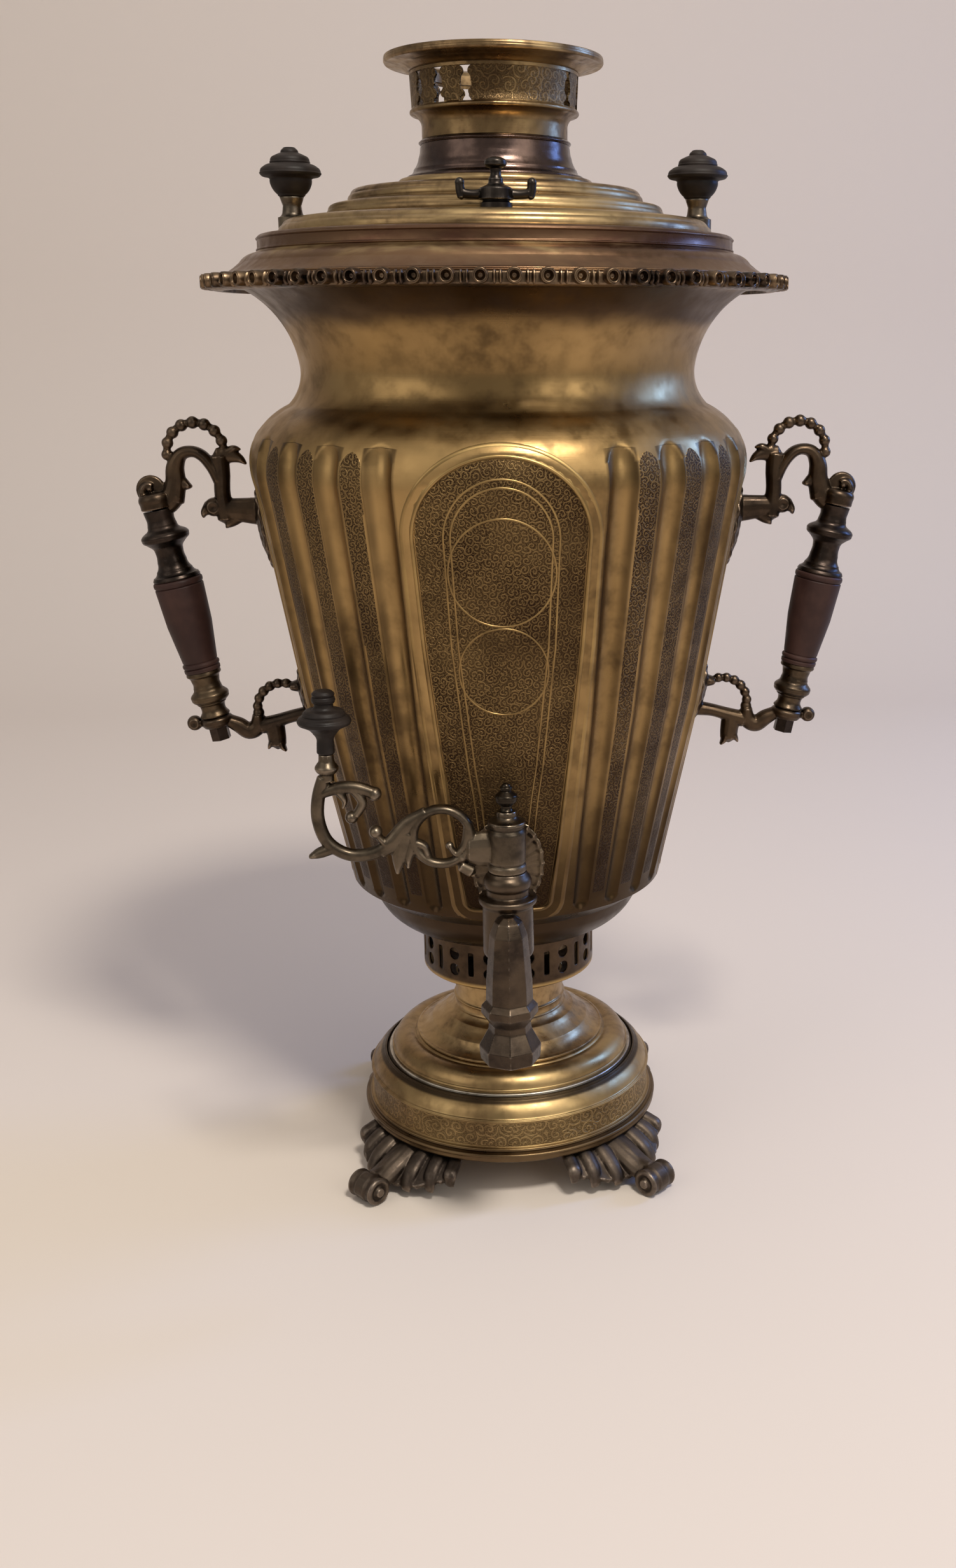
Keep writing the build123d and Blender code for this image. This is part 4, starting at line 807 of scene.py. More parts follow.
def wrapped(piece, radius):
    """Gives a round piece the engraving's map: arc length and height."""
    mesh = piece.data
    layer = mesh.uv_layers.new(name="wall")
    for face in mesh.polygons:
        spots = []
        for loop in face.loop_indices:
            x, y, z = mesh.vertices[mesh.loops[loop].vertex_index].co
            spots.append([loop, math.atan2(y, x), z])
        first = spots[0][1]
        for loop, angle, z in spots:
            angle += 2 * math.pi * round((first - angle) / (2 * math.pi))
            layer.data[loop].uv = (angle * radius * MM * 10, z * 10)
    return piece


def band(low, high):
    """A mask for engraving: one between two heights."""
    return lambda tree: between(tree, split(tree, object_place(tree))["Z"], low, high)


engraved_base = engraved(
    "brass_base_engraved", ((0.42, 0.295, 0.135), (0.26, 0.17, 0.078), GRIME),
    (0.045, 0.027, 0.014), band(29.6, 42.4), 0.8, grime_share=0.3, patch=14.0,
    heights=((20, 28.6, (0.09, 0.058, 0.034), 0.8, 0.8),
             (51.0, 53.6, (0.03, 0.02, 0.014), 0.9, 0.5)))
engraved_crown = engraved(
    "brass_crown_engraved", ((0.32, 0.22, 0.105), (0.18, 0.115, 0.055), GRIME),
    (0.04, 0.025, 0.014), band(537.5, 551.5), 0.9, grime_share=0.4)

drum = spun("base_drum_skin", [
    (79.7, 22.0), (81.3, 23.6, 0.6), (81.4, 25.0), (80.1, 26.7, 0.8), (78.3, 27.2),
    (78.8, 27.9, 0.4), (78.2, 28.7, 0.4), (DRUM_R, 29.2), (DRUM_R, 42.9), (77.7, 43.3, 0.2),
    (77.6, 44.1, 0.3), (76.8, 44.7, 0.2), (76.4, 45.1), (70.2, 52.4, 0.9), (69.8, 53.0, 0.3),
    (69.0, 53.0, 0.3), (68.4, 52.0), (67.2, 52.0), (65.6, 54.4), (65.1, 56.2, 0.6),
    (53.9, 62.4, 3.0), (52.9, 62.2), (52.3, 62.9), (50.5, 63.45)],
    [(78.2, 22.0), (78.3, 26.5), (75.5, 29.0), (75.5, 43.0), (69.0, 51.0), (65.7, 51.2),
     (63.8, 54.8), (52.6, 61.4, 1.5), (50.5, 61.9)], engraved_base)
seat(wrapped(drum, DRUM_R), "urn", "base_drum", slot="brass_body")
white_metal = aged_metal("white_metal", (0.62, 0.58, 0.50), (0.40, 0.36, 0.30), (0.14, 0.11, 0.08))
line_ring = spun("base_line_ring", [
    (65.8, 53.2), (66.7, 52.6, 0.2), (67.4, 53.4, 0.4), (66.6, 54.3, 0.4), (65.9, 54.3)],
    [(65.8, 53.2), (65.9, 54.3)], white_metal)
seat(line_ring, "urn", slot="brass_body")
pedestal = spun("pedestal_skin", [
    (51.0, 63.55), (51.5, 64.0, 0.3), (51.4, 64.9, 0.3), (50.8, 65.2), (50.2, 64.9), (49.6, 65.1),
    (43.0, 70.3, -0.7), (35.5, 76.0, -0.4), (31.0, 79.0, -0.5), (29.8, 80.6, -0.3), (29.7, 83.0),
    (30.4, 83.5, 0.2), (30.4, 84.5, 0.3), (29.7, 85.0), (29.7, 97.0)],
    [(49.7, 63.55), (49.5, 63.6), (42.2, 68.8), (34.6, 74.6), (29.8, 77.8), (28.2, 80.4),
     (28.2, 97.0)], brass_base)
seat(pedestal, "urn", "pedestal", slot="brass_body")

lid_metal = aged_metal(
    "brass_lid_banded", (0.40, 0.285, 0.14), (0.235, 0.155, 0.078), (0.06, 0.038, 0.022),
    patch=15.0, grime_share=0.45, smear=(1, 1, 3.5),
    heights=((455, 473.4, (0.15, 0.078, 0.047), 0.78, 3.0),
             (473.0, 480.6, (0.10, 0.048, 0.033), 0.82, 0.8)))
lid = spun("lid_skin", [
    (130.5, 461.2), (130.8, 461.9, 0.3), (130.4, 462.7, 0.3), (129.2, 463.1), (123.0, 467.6, -0.2),
    (117.6, 471.6, 0.6), (114.8, 472.7, -0.2), (114.4, 473.1), (114.5, 473.9, 0.3), (114.2, 474.2),
    (114.1, 477.9), (114.5, 478.2, 0.1), (114.3, 478.9, 0.3), (111.6, 480.2, 0.5), (110.8, 480.0),
    (104.5, 481.0, -0.15), (104.0, 481.3), (102.2, 484.6, 0.6), (98.0, 487.2, 0.8),
    (94.2, 487.8, 0.1), (93.4, 487.5), (81.5, 488.6, -0.1), (80.9, 489.0), (80.3, 491.6, 0.4),
    (77.6, 494.2, 0.8), (75.4, 494.5, 0.1), (74.9, 494.2), (71.1, 495.2), (70.6, 495.7),
    (69.5, 498.8, 0.6), (66.3, 501.3, 0.8), (63.4, 501.7, 0.1), (62.8, 501.3), (47.3, 502.6, -0.2),
    (46.9, 502.9), (46.3, 505.2, 0.4), (44.6, 506.0, 0.3), (38.0, 506.0)],
    [(129.0, 461.2), (128.8, 462.0), (113.5, 471.5), (113.1, 477.5), (110.9, 479.0), (103.3, 479.9),
     (97.5, 486.0), (94.0, 486.7), (80.2, 487.6), (79.2, 490.6), (75.2, 493.4), (69.7, 494.3),
     (68.4, 498.0), (63.4, 500.6), (46.2, 501.5), (44.0, 505.0), (38.0, 505.0)], lid_metal, 220)
seat(lid, "lid", "lid_shell", slot="brass_lid")
spigot = spun("lid_spigot", [(107.0, 449.2), (108.0, 449.7, 0.2), (108.0, 480.0)],
              [(107.0, 449.2), (107.0, 480.0)], brass, 120)
seat(spigot, "lid", slot="brass_lid")
copper_collar = spun("lid_collar_skin", [
    (42.5, 506.05), (42.5, 506.7, 0.3), (41.2, 507.6, 0.3), (39.0, 510.4, -0.5),
    (36.6, 515.5, -0.4), (35.7, 520.0, -0.2), (35.3, 521.4), (36.0, 521.9, 0.2), (36.0, 522.7, 0.3),
    (35.2, 523.5), (34.2, 523.55)],
    [(41.2, 506.05), (38.0, 509.0), (35.3, 515.4), (34.4, 520.0), (34.2, 523.55)], copper, 140)
seat(copper_collar, "lid", "lid_collar", slot="dark_copper")

gallery = dressed("crown_gallery", "crown_gallery_skin", engraved_crown, 28)
seat(wrapped(gallery, GALLERY_R), "crown", "crown_gallery", slot="brass_crown")
crown_rim = spun("crown_rim_skin", [
    (38.0, 553.1), (40.3, 553.1), (41.6, 553.6, 0.1), (46.0, 555.4, -0.4), (50.4, 556.4, -0.2),
    (51.4, 556.9, 0.2), (51.6, 558.3, 0.2), (51.5, 559.3, 0.1), (50.6, 560.0, 0.3), (49.4, 559.8),
    (45.4, 559.9), (42.0, 560.0)],
    [(38.0, 553.1), (38.2, 557.3), (39.4, 559.0), (42.0, 560.0)], brass_crown, 140)
seat(crown_rim, "crown", "crown_rim", slot="brass_crown")


def knob(name, points, x, y, body, replaced):
    seat(turned(name, points, black, 64, Matrix.Translation((x, y, 0))), body, replaced)


lid_knob_points = [
    (0, 498.45), (5.4, 498.45), (6.6, 499.4, 0.3), (9.6, 503.6, 0.4), (9.9, 506.3, 0.2),
    (10.8, 506.9), (13.0, 507.3), (14.3, 508.3, 0.2), (14.3, 509.3, 0.3), (12.9, 511.6, 0.4),
    (10.2, 512.9, 0.2), (9.4, 513.2), (9.3, 514.2, 0.2), (7.6, 516.6, 0.5), (5.6, 517.5),
    (4.2, 518.0), (3.3, 519.6, 0.3), (1.6, 520.4, 0.3), (0, 520.45)]
for side, sign in (("left", -1), ("right", 1)):
    knob(side + "_lid_knob_skin", lid_knob_points, sign * KNOB_X, 0, "lid", side + "_lid_knob")
knob("tap_key_knob_skin", [
    (0, 253.2), (3.6, 253.2), (4.1, 254.4, 0.2), (3.9, 258.6), (5.2, 262.4, -0.5),
    (8.2, 265.4, -0.3), (11.2, 266.9), (12.0, 267.7, 0.2), (12.0, 269.2, 0.3), (11.0, 270.4, 0.2),
    (9.6, 271.2), (9.2, 272.6, 0.3), (7.8, 273.7, 0.2), (5.2, 274.0), (4.4, 275.0), (4.3, 276.8),
    (5.2, 277.7, 0.3), (5.3, 279.0, 0.2), (4.7, 279.9, 0.2), (5.0, 280.4), (4.7, 281.7, 0.3),
    (3.0, 282.7, 0.2), (0, 283.1)],
    KEY_POST_X, TAP_Y, "tap_key", "tap_key_knob")


# --- Repeats made with Geometry Nodes -------------------------------------------------------------

def ring_tree(name):
    """Node tree that sets copies of the source mesh round the Z axis and gives them a material."""
    tree = bpy.data.node_groups.new(name, "GeometryNodeTree")
    for label, kind in (("Geometry", "NodeSocketGeometry"), ("Copies", "NodeSocketInt"),
                        ("First turn", "NodeSocketFloat"), ("Finish", "NodeSocketMaterial")):
        tree.interface.new_socket(name=label, in_out="INPUT", socket_type=kind)
    tree.interface.new_socket(name="Geometry", in_out="OUTPUT", socket_type="NodeSocketGeometry")
    given = node(tree, "NodeGroupInput").outputs
    line = node(tree, "GeometryNodeMeshLine", {"Count": given["Copies"], "Offset": (0, 0, 0)})
    points = node(tree, "GeometryNodeMeshToPoints", {"Mesh": line.outputs[0]})
    pitch = maths(tree, "DIVIDE", 2 * math.pi, given["Copies"])
    number = node(tree, "GeometryNodeInputIndex").outputs[0]
    spin = plus(tree, times(tree, number, pitch), given["First turn"])
    turn_by = node(tree, "ShaderNodeCombineXYZ", {2: spin})
    copies = node(tree, "GeometryNodeInstanceOnPoints", {
        "Points": points.outputs[0], "Instance": given["Geometry"], "Rotation": turn_by.outputs[0]})
    solid = node(tree, "GeometryNodeRealizeInstances", {0: copies.outputs[0]})
    painted = node(tree, "GeometryNodeSetMaterial", {
        "Geometry": solid.outputs[0], "Material": given["Finish"]})
    tree.links.new(painted.outputs[0], node(tree, "NodeGroupOutput").inputs[0])
    return tree


ring_of = ring_tree("ring_of_copies")


def ringed(piece, count, first, material):
    """Replaces a piece by a ring of copies of it, as one plain mesh."""
    modifier = piece.modifiers.new("ring", "NODES")
    modifier.node_group = ring_of
    values = {"Copies": count, "First turn": math.radians(first), "Finish": material}
    for item in ring_of.interface.items_tree:
        if item.in_out == "INPUT" and item.name in values:
            modifier[item.identifier] = values[item.name]
    baked = evaluated(piece)
    piece.modifiers.clear()
    piece.data = baked
    piece.data.name = piece.name
    return piece


BEADS = 64
bead_metal = aged_metal("rim_bronze", (0.22, 0.15, 0.09), (0.085, 0.058, 0.042),
                        (0.022, 0.016, 0.013), patch=30.0, grime_share=0.8)
facing = Matrix.Translation((0, 0, 459.0)) @ Matrix.Rotation(math.radians(90), 4, "Y")
bead = turned("rim_beads", [
    (0, 139.3), (0.9, 139.2, 0.1), (1.5, 138.6), (1.7, 139.4), (2.1, 140.9, 0.1), (2.7, 141.4, 0.2),
    (3.2, 140.9, 0.2), (3.35, 139.6), (3.3, 135.5), (0, 135.5)], bead_metal, 20, facing, 0.12)
seat(ringed(bead, BEADS, 180 / BEADS, bead_metal), "urn", slot="brass_body")
shape = bmesh.new()
for off in (-1.25, 1.25):
    swing = Matrix.Rotation(math.radians(off * 0.415), 4, "Z")
    place = swing @ Matrix.Translation((137.6, 0, 458.6))
    bmesh.ops.create_uvsphere(shape, u_segments=10, v_segments=8, radius=1.0,
                              matrix=place @ Matrix.Diagonal((2.1, 0.95, 3.0, 1)))
reels = finish_mesh("rim_reels", shape, bead_metal)
seat(ringed(reels, BEADS, 0.0, bead_metal), "urn", slot="brass_body")
rim = spun("rim_skin", [
    (131.05, 455.0), (133.0, 455.0, 0.1), (136.0, 455.4, 0.2), (137.0, 456.4, 0.2), (136.8, 460.0),
    (136.0, 460.9, 0.2), (134.0, 461.0), (121.0, 461.0)],
    [(131.05, 455.0), (131.05, LIP_TOP), (121.0, LIP_TOP), (121.0, 461.0)], bead_metal, 200)
seat(rim, "urn", "rim_ring", slot="brass_body")


# --- Castings -------------------------------------------------------------------------------------
# A casting is drawn from a corner (x, y, z) of its own, in strips of (across, up, half-width)
# stations.

def shifted(corner, across, up):
    return across + corner[0], corner[1], up + corner[2]


def tube(shape, corner, stations, depth=None):
    """Adds a rounded limb along its stations; depth is its half-depth along Y, or it is round."""
    sides = 14
    run = spline([(corner[0] + across, corner[2] + up, half) for across, up, half in stations])
    rings = []
    for place, (x, z, half) in enumerate(run):
        before, after = run[max(place - 1, 0)], run[min(place + 1, len(run) - 1)]
        along = Vector((after[0] - before[0], 0, after[1] - before[1])).normalized()
        across = Vector((along.z, 0, -along.x))
        deep = half if depth is None else min(depth, 0.4 * depth + half)
        ways = [2 * math.pi * s / sides for s in range(sides)]
        rings.append([shape.verts.new(Vector((x, corner[1], z)) + across * half * math.cos(way)
                                      + Vector((0, deep * math.sin(way), 0))) for way in ways])
    for low, high in zip(rings, rings[1:]):
        bridge(shape, low, high)
    for ring, other, half in ((rings[0], rings[1], run[0][2]), (rings[-1], rings[-2], run[-1][2])):
        middle = sum((v.co for v in ring), Vector()) / sides
        inner = sum((v.co for v in other), Vector()) / sides
        tip = shape.verts.new(middle + (middle - inner).normalized() * half * 0.7)
        for s in range(sides):
            shape.faces.new((ring[s], ring[(s + 1) % sides], tip))


def limbs(shape, corner, strips, depth, stout=1.0):
    """Adds rounded limbs, each made stouter by a factor."""
    for strip in strips:
        tube(shape, corner, [(across, up, half * stout) for across, up, half in strip], depth)


def ball(shape, centre, radius, squash=1.0):
    """Adds a ball, drawn out along Y where squash is over one."""
    place = Matrix.Translation(Vector(centre)) @ Matrix.Diagonal((1, squash, 1, 1))
    bmesh.ops.create_icosphere(shape, subdivisions=3, radius=radius, matrix=place)


def coin(shape, centre, radius, half_depth, lift=0.0):
    """Adds a rounded disc that faces along Y, with its middle raised when lift is given."""
    edge = [(0, half_depth), (radius * 0.55, half_depth + lift), (radius * 0.9, half_depth * 0.8),
            (radius, half_depth * 0.3)]
    outline = edge + [(r, -deep) for r, deep in reversed(edge)]
    place = Matrix.Translation(centre) @ Matrix.Rotation(math.radians(90), 4, "X")
    revolved(shape, [Vector(point) for point in outline], 28, place)


def wall_pad(shape, z, half_width, half_height, rise, ribs, groove, quarter=0):
    """Adds an oval pad on a sunk field. Its rise holds (share of the half size, height) pairs."""
    turns, rings, foot = 72, 12, 0.06
    ways = [2 * math.pi * turn / turns for turn in range(turns)]

    def corner(way, reach, proud):
        return shape.verts.new(on_wall(half_width * reach * math.sin(way),
                                       z + half_height * reach * math.cos(way),
                                       proud, quarter, RECESS))

    rows = [[corner(0, 0, stepped(rise, 0))]]
    for step in range(1, rings + 1):
        share = step / rings
        row = []
        for way in ways:
            rib = math.cos(ribs * way)
            tall = stepped(rise, share) - groove * (0.5 + 0.5 * rib) * share ** 2
            row.append(corner(way, share * (1 - 0.018 * rib), tall))
        rows.append(row)
    rows += [[corner(way, 1, foot) for way in ways], [corner(0, 0, foot)]]
    for low, high in zip(rows, rows[1:]):
        bridge(shape, low, high)


def string_of_beads(shape, centre, mean_r, bead_r, core, start, end, count):
    """Adds round beads on an arc in the XZ plane, strung on a thin rod."""
    spots = [math.radians(start + (end - start) * place / (count - 1)) for place in range(count)]
    spots = [(mean_r * math.cos(spot), mean_r * math.sin(spot)) for spot in spots]
    tube(shape, centre, [(*spot, core) for spot in spots])
    for place, (across, up) in enumerate(spots):
        radius = bead_r * (1.0 - 0.02 * abs(place - count // 2))
        ball(shape, shifted(centre, across, up), radius)


def curl(shape, centre, start, end, wide, narrow, thick, thin, depth):
    """Adds a spiral scroll round a centre, from its outer end to the eye."""
    stations = []
    for step in range(17):
        share = step / 16
        spot, radius = math.radians(start + (end - start) * share), wide + (narrow - wide) * share
        half = thick + (thin - thick) * share
        stations.append((radius * math.cos(spot), radius * math.sin(spot), half))
    tube(shape, centre, stations, depth)


def seat_pair(piece, label, slot):
    """Seats a right-hand piece of the handles, and its mirror image on the left."""
    seat(piece, "urn", "right_" + label, slot=slot)
    seat(mirrored(piece, "left_" + label + "_skin"), "urn", "left_" + label, slot=slot)


UPPER_Z, LOWER_Z = 341.0, 254.0
UPPER, LOWER = ((wall_radius(z) - RECESS, 0.0, z) for z in (UPPER_Z, LOWER_Z))
grip_foot = Vector(shifted(LOWER, 48.5, -9.9))
grip_head = Vector(shifted(UPPER, 54.4, 9.9))
grip_run = (grip_head - grip_foot).length
on_grip = (Matrix.Translation(grip_foot)
           @ (grip_head - grip_foot).to_track_quat("Z", "Y").to_matrix().to_4x4())


def grip_turning(shape, points, turns=44):
    """Adds a solid turning on the grip's axis."""
    revolved(shape, eased(arc_points(points), 0.25), turns, on_grip)


shape = bmesh.new()
limbs(shape, UPPER, [
    [(-0.5, 8.5, 6.5), (8, 9.0, 5.8), (15, 9.5, 5.2), (20.5, 9.5, 5.0)],
    [(20.3, 5.0, 4.2), (21.7, 17.5, 3.6), (21.4, 27.0, 3.7), (22.1, 36.0, 4.2)],
    [(23.0, 24.0, 2.6), (25.9, 30.5, 2.6), (30.3, 36.2, 2.6), (35.3, 38.4, 2.5), (40.8, 37.0, 3.0),
     (44.1, 31.0, 4.0), (44.6, 23.0, 4.6), (46.8, 14.5, 5.4)],
    [(45.0, 18.0, 5.0), (49.5, 13.0, 5.0), (54.5, 12.4, 5.2)]], 4.4, 1.14)
eye = shifted(UPPER, 56.9, 19.6)
curl(shape, eye, 215, 470, 6.0, 2.2, 2.7, 1.9, 4.0)
coin(shape, eye, 7.4, 1.7)
ball(shape, shifted(UPPER, 57.2, 20.4), 2.3, 1.7)
coin(shape, shifted(UPPER, 26.4, 11.0), 4.7, 3.2, 0.8)
string_of_beads(shape, shifted(UPPER, 33.6, 38.4), 14.1, 3.15, 1.9, 182, -6, 9)
limbs(shape, UPPER, [
    [(23.0, 36.0, 3.6), (16.8, 36.4, 3.2), (12.1, 34.8, 1.9), (9.1, 32.2, 0.5)],
    [(43.0, 24.0, 3.4), (39.0, 21.8, 2.0), (36.6, 21.2, 0.6)],
    [(28.2, 11.0, 3.2), (31.2, 8.2, 1.8), (31.9, 5.8, 0.5)],
    [(15.0, 6.5, 3.4), (18.8, 3.0, 2.2), (20.9, 0.6, 0.5)],
    [(20.0, 36.5, 2.4), (15.0, 39.6, 1.6), (11.5, 39.3, 0.5)],
    [(21.8, 12.0, 1.1), (21.9, 22.0, 1.0), (22.0, 33.0, 0.9)]], 3.0, 1.2)
tube(shape, UPPER, [(3, 8.6, 1.2), (12, 9.4, 1.1), (19, 9.6, 0.9)], 5.2)
wall_pad(shape, UPPER_Z, 11.0, 20.0,
         [(0, 5.0), (0.5, 4.4), (0.75, 3.0), (0.88, 2.6), (0.95, 2.9), (1.0, 2.0)], 14, 0.7, 90)
grip_turning(shape, raised([
    (0, 0.4), (7.4, 0.4), (8.0, 1.2, 0.3), (8.0, 3.6), (6.8, 8.0, 0.8), (0, 9.0)], grip_run))
seat_pair(fused("right_upper_bracket_skin", shape, bronze, 0.42, 4), "upper_bracket", "dark_bronze")

shape = bmesh.new()
limbs(shape, LOWER, [
    [(-0.5, -9.5, 3.6), (8, -10.8, 3.0), (16, -13.2, 3.2), (25, -16.0, 4.0)],
    [(26.3, -10.0, 2.8), (27.0, -16.0, 4.0), (31.5, -18.6, 4.0), (36.5, -15.4, 3.8),
     (41.5, -12.8, 3.0)],
    [(18.4, -14.0, 4.8), (17.4, -21.0, 4.4), (17.2, -26.0, 4.2)],
    [(15.5, -24.5, 2.4), (14.4, -27.5, 1.6), (12.7, -29.8, 0.5)],
    [(19.6, -24.5, 2.0), (21.0, -26.5, 1.3), (22.0, -28.4, 0.5)]], 4.4, 1.12)
ball(shape, shifted(LOWER, 26.0, -8.8), 3.0)
string_of_beads(shape, shifted(LOWER, 13.0, -6.5), 13.4, 2.75, 1.8, 118, -14, 8)
limbs(shape, LOWER, [
    [(-0.5, 6.5, 4.6), (4.5, 5.5, 3.4), (8.5, 5.2, 2.2)],
    [(17.9, -13.0, 1.2), (17.2, -20.0, 1.2), (17.0, -26.5, 0.8)]], 4.8)
tube(shape, tuple(grip_foot), [(3, -3.6, 1.9), (7.5, -4.4, 1.8), (10.9, -4.0, 1.7)], 3.0)
coin(shape, shifted(grip_foot, 10.9, -4.0), 3.9, 3.0, 0.6)
wall_pad(shape, LOWER_Z, 9.5, 15.0,
         [(0, 4.2), (0.5, 3.8), (0.75, 2.6), (0.88, 2.2), (0.95, 2.5), (1.0, 1.8)], 12, 0.6, 90)
grip_turning(shape, [
    (0, -6.0), (6.2, -6.0), (7.6, -4.6, 0.3), (8.2, -3.0, 0.3), (8.0, -1.2, 0.3), (6.6, -0.1),
    (0, -0.1)])
seat_pair(fused("right_lower_bracket_skin", shape, bronze, 0.42, 4), "lower_bracket", "dark_bronze")

# The grip between its two ferrules, as heights along its axis.
GRIP_LOW, GRIP_HIGH = 24.5, grip_run - 35.5
lower_ferrule = [
    (0, 0.05), (7.4, 0.05), (7.6, 1.0, 0.2), (6.6, 2.4), (6.2, 4.0, -0.1), (6.6, 6.2, -0.1),
    (7.3, 6.9), (7.5, 7.8, 0.2), (8.9, 8.6, 0.2), (9.7, 10.4, 0.3), (9.4, 12.4, 0.3), (8.2, 13.6),
    (7.3, 15.8, -0.3), (6.9, 18.0, -0.1), (7.4, 20.4), (8.6, 22.2, -0.3), (8.9, 23.4, 0.2),
    (8.8, 24.4), (0, 24.4)]
grip = raised([
    (0, 0), (8.8, 0), (9.2, 0.7, 0.2), (9.2, 1.9, 0.1), (8.5, 2.4), (9.3, 2.9, 0.1),
    (9.3, 4.5, 0.2), (8.5, 5.0), (8.9, 5.6)], GRIP_LOW)
grip += raised([
    (12.3, -4.0, 0.8), (11.6, -3.5), (12.3, -2.9, 0.1), (12.3, -0.7, 0.2), (11.6, -0.05),
    (0, -0.05)],
    GRIP_HIGH)
upper_ferrule = raised([
    (0, 0), (11.6, 0), (11.9, 0.9, 0.2), (11.3, 2.1), (9.0, 4.8, -0.5), (7.4, 9.4, -0.5),
    (6.9, 13.0, -0.1), (7.2, 15.6), (8.6, 17.6, -0.2), (11.0, 19.6, -0.1), (11.9, 21.4, 0.3),
    (11.6, 23.2, 0.3), (10.2, 24.4, 0.1), (8.4, 25.4), (7.4, 27.6, -0.3), (6.9, 30.6, -0.1),
    (7.4, 34.0), (7.5, 35.3), (0, 35.3)], GRIP_HIGH)
for label, points, finish, slot in (("lower_ferrule", lower_ferrule, bronze_turned, "dark_bronze"),
                                    ("grip", grip, wood, "wood_grip"),
                                    ("upper_ferrule", upper_ferrule, dark_turned, "dark_bronze")):
    shape = bmesh.new()
    grip_turning(shape, points, 72)
    seat_pair(finish_mesh("right_" + label + "_skin", shape, finish), label, slot)

Z_HEAD = 195.1                        # top of the tap's barrel, where the key's head begins
HEAD = (0.0, TAP_Y, Z_HEAD)
RING = (-30.0, TAP_Y, Z_HEAD + 17.4)
POST = (KEY_POST_X, TAP_Y, Z_HEAD)
on_tap = Matrix.Translation((0, TAP_Y, 0))
shape = bmesh.new()
key_bob = [(0, 150.0), (6.4, 150.0)] + raised([
    (8.4, 0), (8.2, 0.05), (9.0, 1.2, 0.4), (9.0, 3.0), (8.1, 4.0), (8.7, 5.2), (9.0, 18.8),
    (7.5, 21.4, 0.3), (8.5, 22.6, 0.4), (8.5, 24.6, 0.4), (4.6, 27.0, -0.4), (4.4, 29.4, 0.3),
    (0, 29.4)], Z_HEAD)
revolved(shape, arc_points(key_bob), 48, on_tap)
tube(shape, HEAD, [(-5.5, 11, 8.6), (-12.0, 11, 8.8), (-17.5, 11.2, 7.0)], 4.6)
curl(shape, RING, -35, 335, 13.3, 13.3, 2.3, 2.3, 3.3)
limbs(shape, RING, [
    [(8.5, -14.5, 2.8), (13.5, -17.5, 3.0)],
    [(12.5, 4.0, 2.8), (10.5, -4.0, 2.0), (6.5, -8.5, 1.7), (3.6, -5.0, 1.3)],
    [(-12.8, -2.5, 2.0), (-8.5, -4.5, 2.2), (-6.8, -8.5, 1.8)],
    [(-7, 12.0, 2.6), (-15.5, 6.0, 4.0), (-21.5, -1.5, 4.6), (-28.5, -7.0, 3.2)],
    [(-16, 2.0, 4.4), (-19.5, -8.0, 4.2), (-21.0, -17.5, 1.0)],
    [(-13.5, -3.0, 2.8), (-15.5, -10.0, 2.2), (-16.0, -15.0, 0.7)],
    [(-25.0, -4.0, 2.0), (-28.0, -1.0, 1.8), (-30.5, 2.5, 1.5)]], 3.2)
for across, up, radius in ((9.0, -10.0, 3.0), (3.4, -4.6, 1.9), (-30.5, 2.8, 3.2),
                           (-7.2, -9.2, 2.4)):
    ball(shape, shifted(RING, across, up), radius, 1.2)
limbs(shape, POST, [
    [(-1.5, 46.5, 3.2), (-4.4, 37.5, 3.1), (-5.1, 27.0, 3.1), (-1.8, 16.5, 3.1), (5.5, 10.4, 3.0),
     (14.0, 8.8, 3.1), (22.5, 11.0, 3.2), (28.0, 15.5, 3.4)],
    [(-3.5, 39.0, 2.4), (4.5, 41.6, 3.0), (13.0, 41.6, 3.0), (20.5, 39.2, 2.8)],
    [(12.0, 40.5, 2.2), (15.5, 34.5, 2.3), (12.4, 28.6, 2.0)],
    [(5.0, 40.0, 2.2), (7.5, 35.6, 1.4), (6.6, 32.0, 0.6)],
    [(1.0, 12.5, 2.6), (-5.0, 10.5, 2.6), (-9.8, 8.6, 1.0)]], 3.2)
for across, up, radius in ((10.3, 27.5, 3.1), (21.2, 38.6, 3.3)):
    ball(shape, shifted(POST, across, up), radius, 1.15)
post_points = [(0, 240.1), (3.2, 240.1), (3.2, 243.6), (5.0, 245.1, 0.3), (5.0, 247.6, 0.5),
               (3.6, 249.6), (3.4, 253.1), (0, 253.1)]
revolved(shape, arc_points(post_points), 32, Matrix.Translation((KEY_POST_X, TAP_Y, 0)))
seat(fused("tap_key_skin", shape, key_metal, 0.4, 3), "tap_key", "tap_key", slot="tap_bronze")
finial = turned("tap_key_finial_skin", [
    (0, 224.7), (3.3, 224.7), (2.5, 226.3, -0.2), (2.6, 227.0), (3.9, 228.2, 0.2),
    (5.0, 230.4, 0.4), (4.6, 232.4, 0.4), (2.9, 233.7), (2.2, 234.3), (2.7, 235.0, 0.2),
    (2.2, 236.3, 0.4), (0, 237.85, 0.5)],
    key_metal, 40, on_tap)
seat(finial, "tap_key", "tap_key_finial", slot="tap_bronze")

shape = bmesh.new()
wall_pad(shape, 190.0, 18.0, 25.5,
         [(0, 4.4), (0.45, 3.6), (0.7, 2.2), (0.86, 1.9), (0.94, 2.7), (1.0, 1.9)], 26, 1.0)
escutcheon = fused("tap_escutcheon_skin", shape, escutcheon_metal, 0.35, 2)
seat(escutcheon, "urn", "tap_escutcheon", slot="tap_bronze")
seat(recast("tap_body", "tap_body_skin", tap_metal, 0.4, 2), "urn", "tap_body", slot="tap_bronze")
seat(recast("pierced_collar", "pierced_collar_skin", collar_metal, 0.5, 3), "urn", "pierced_collar",
     slot="brass_body")

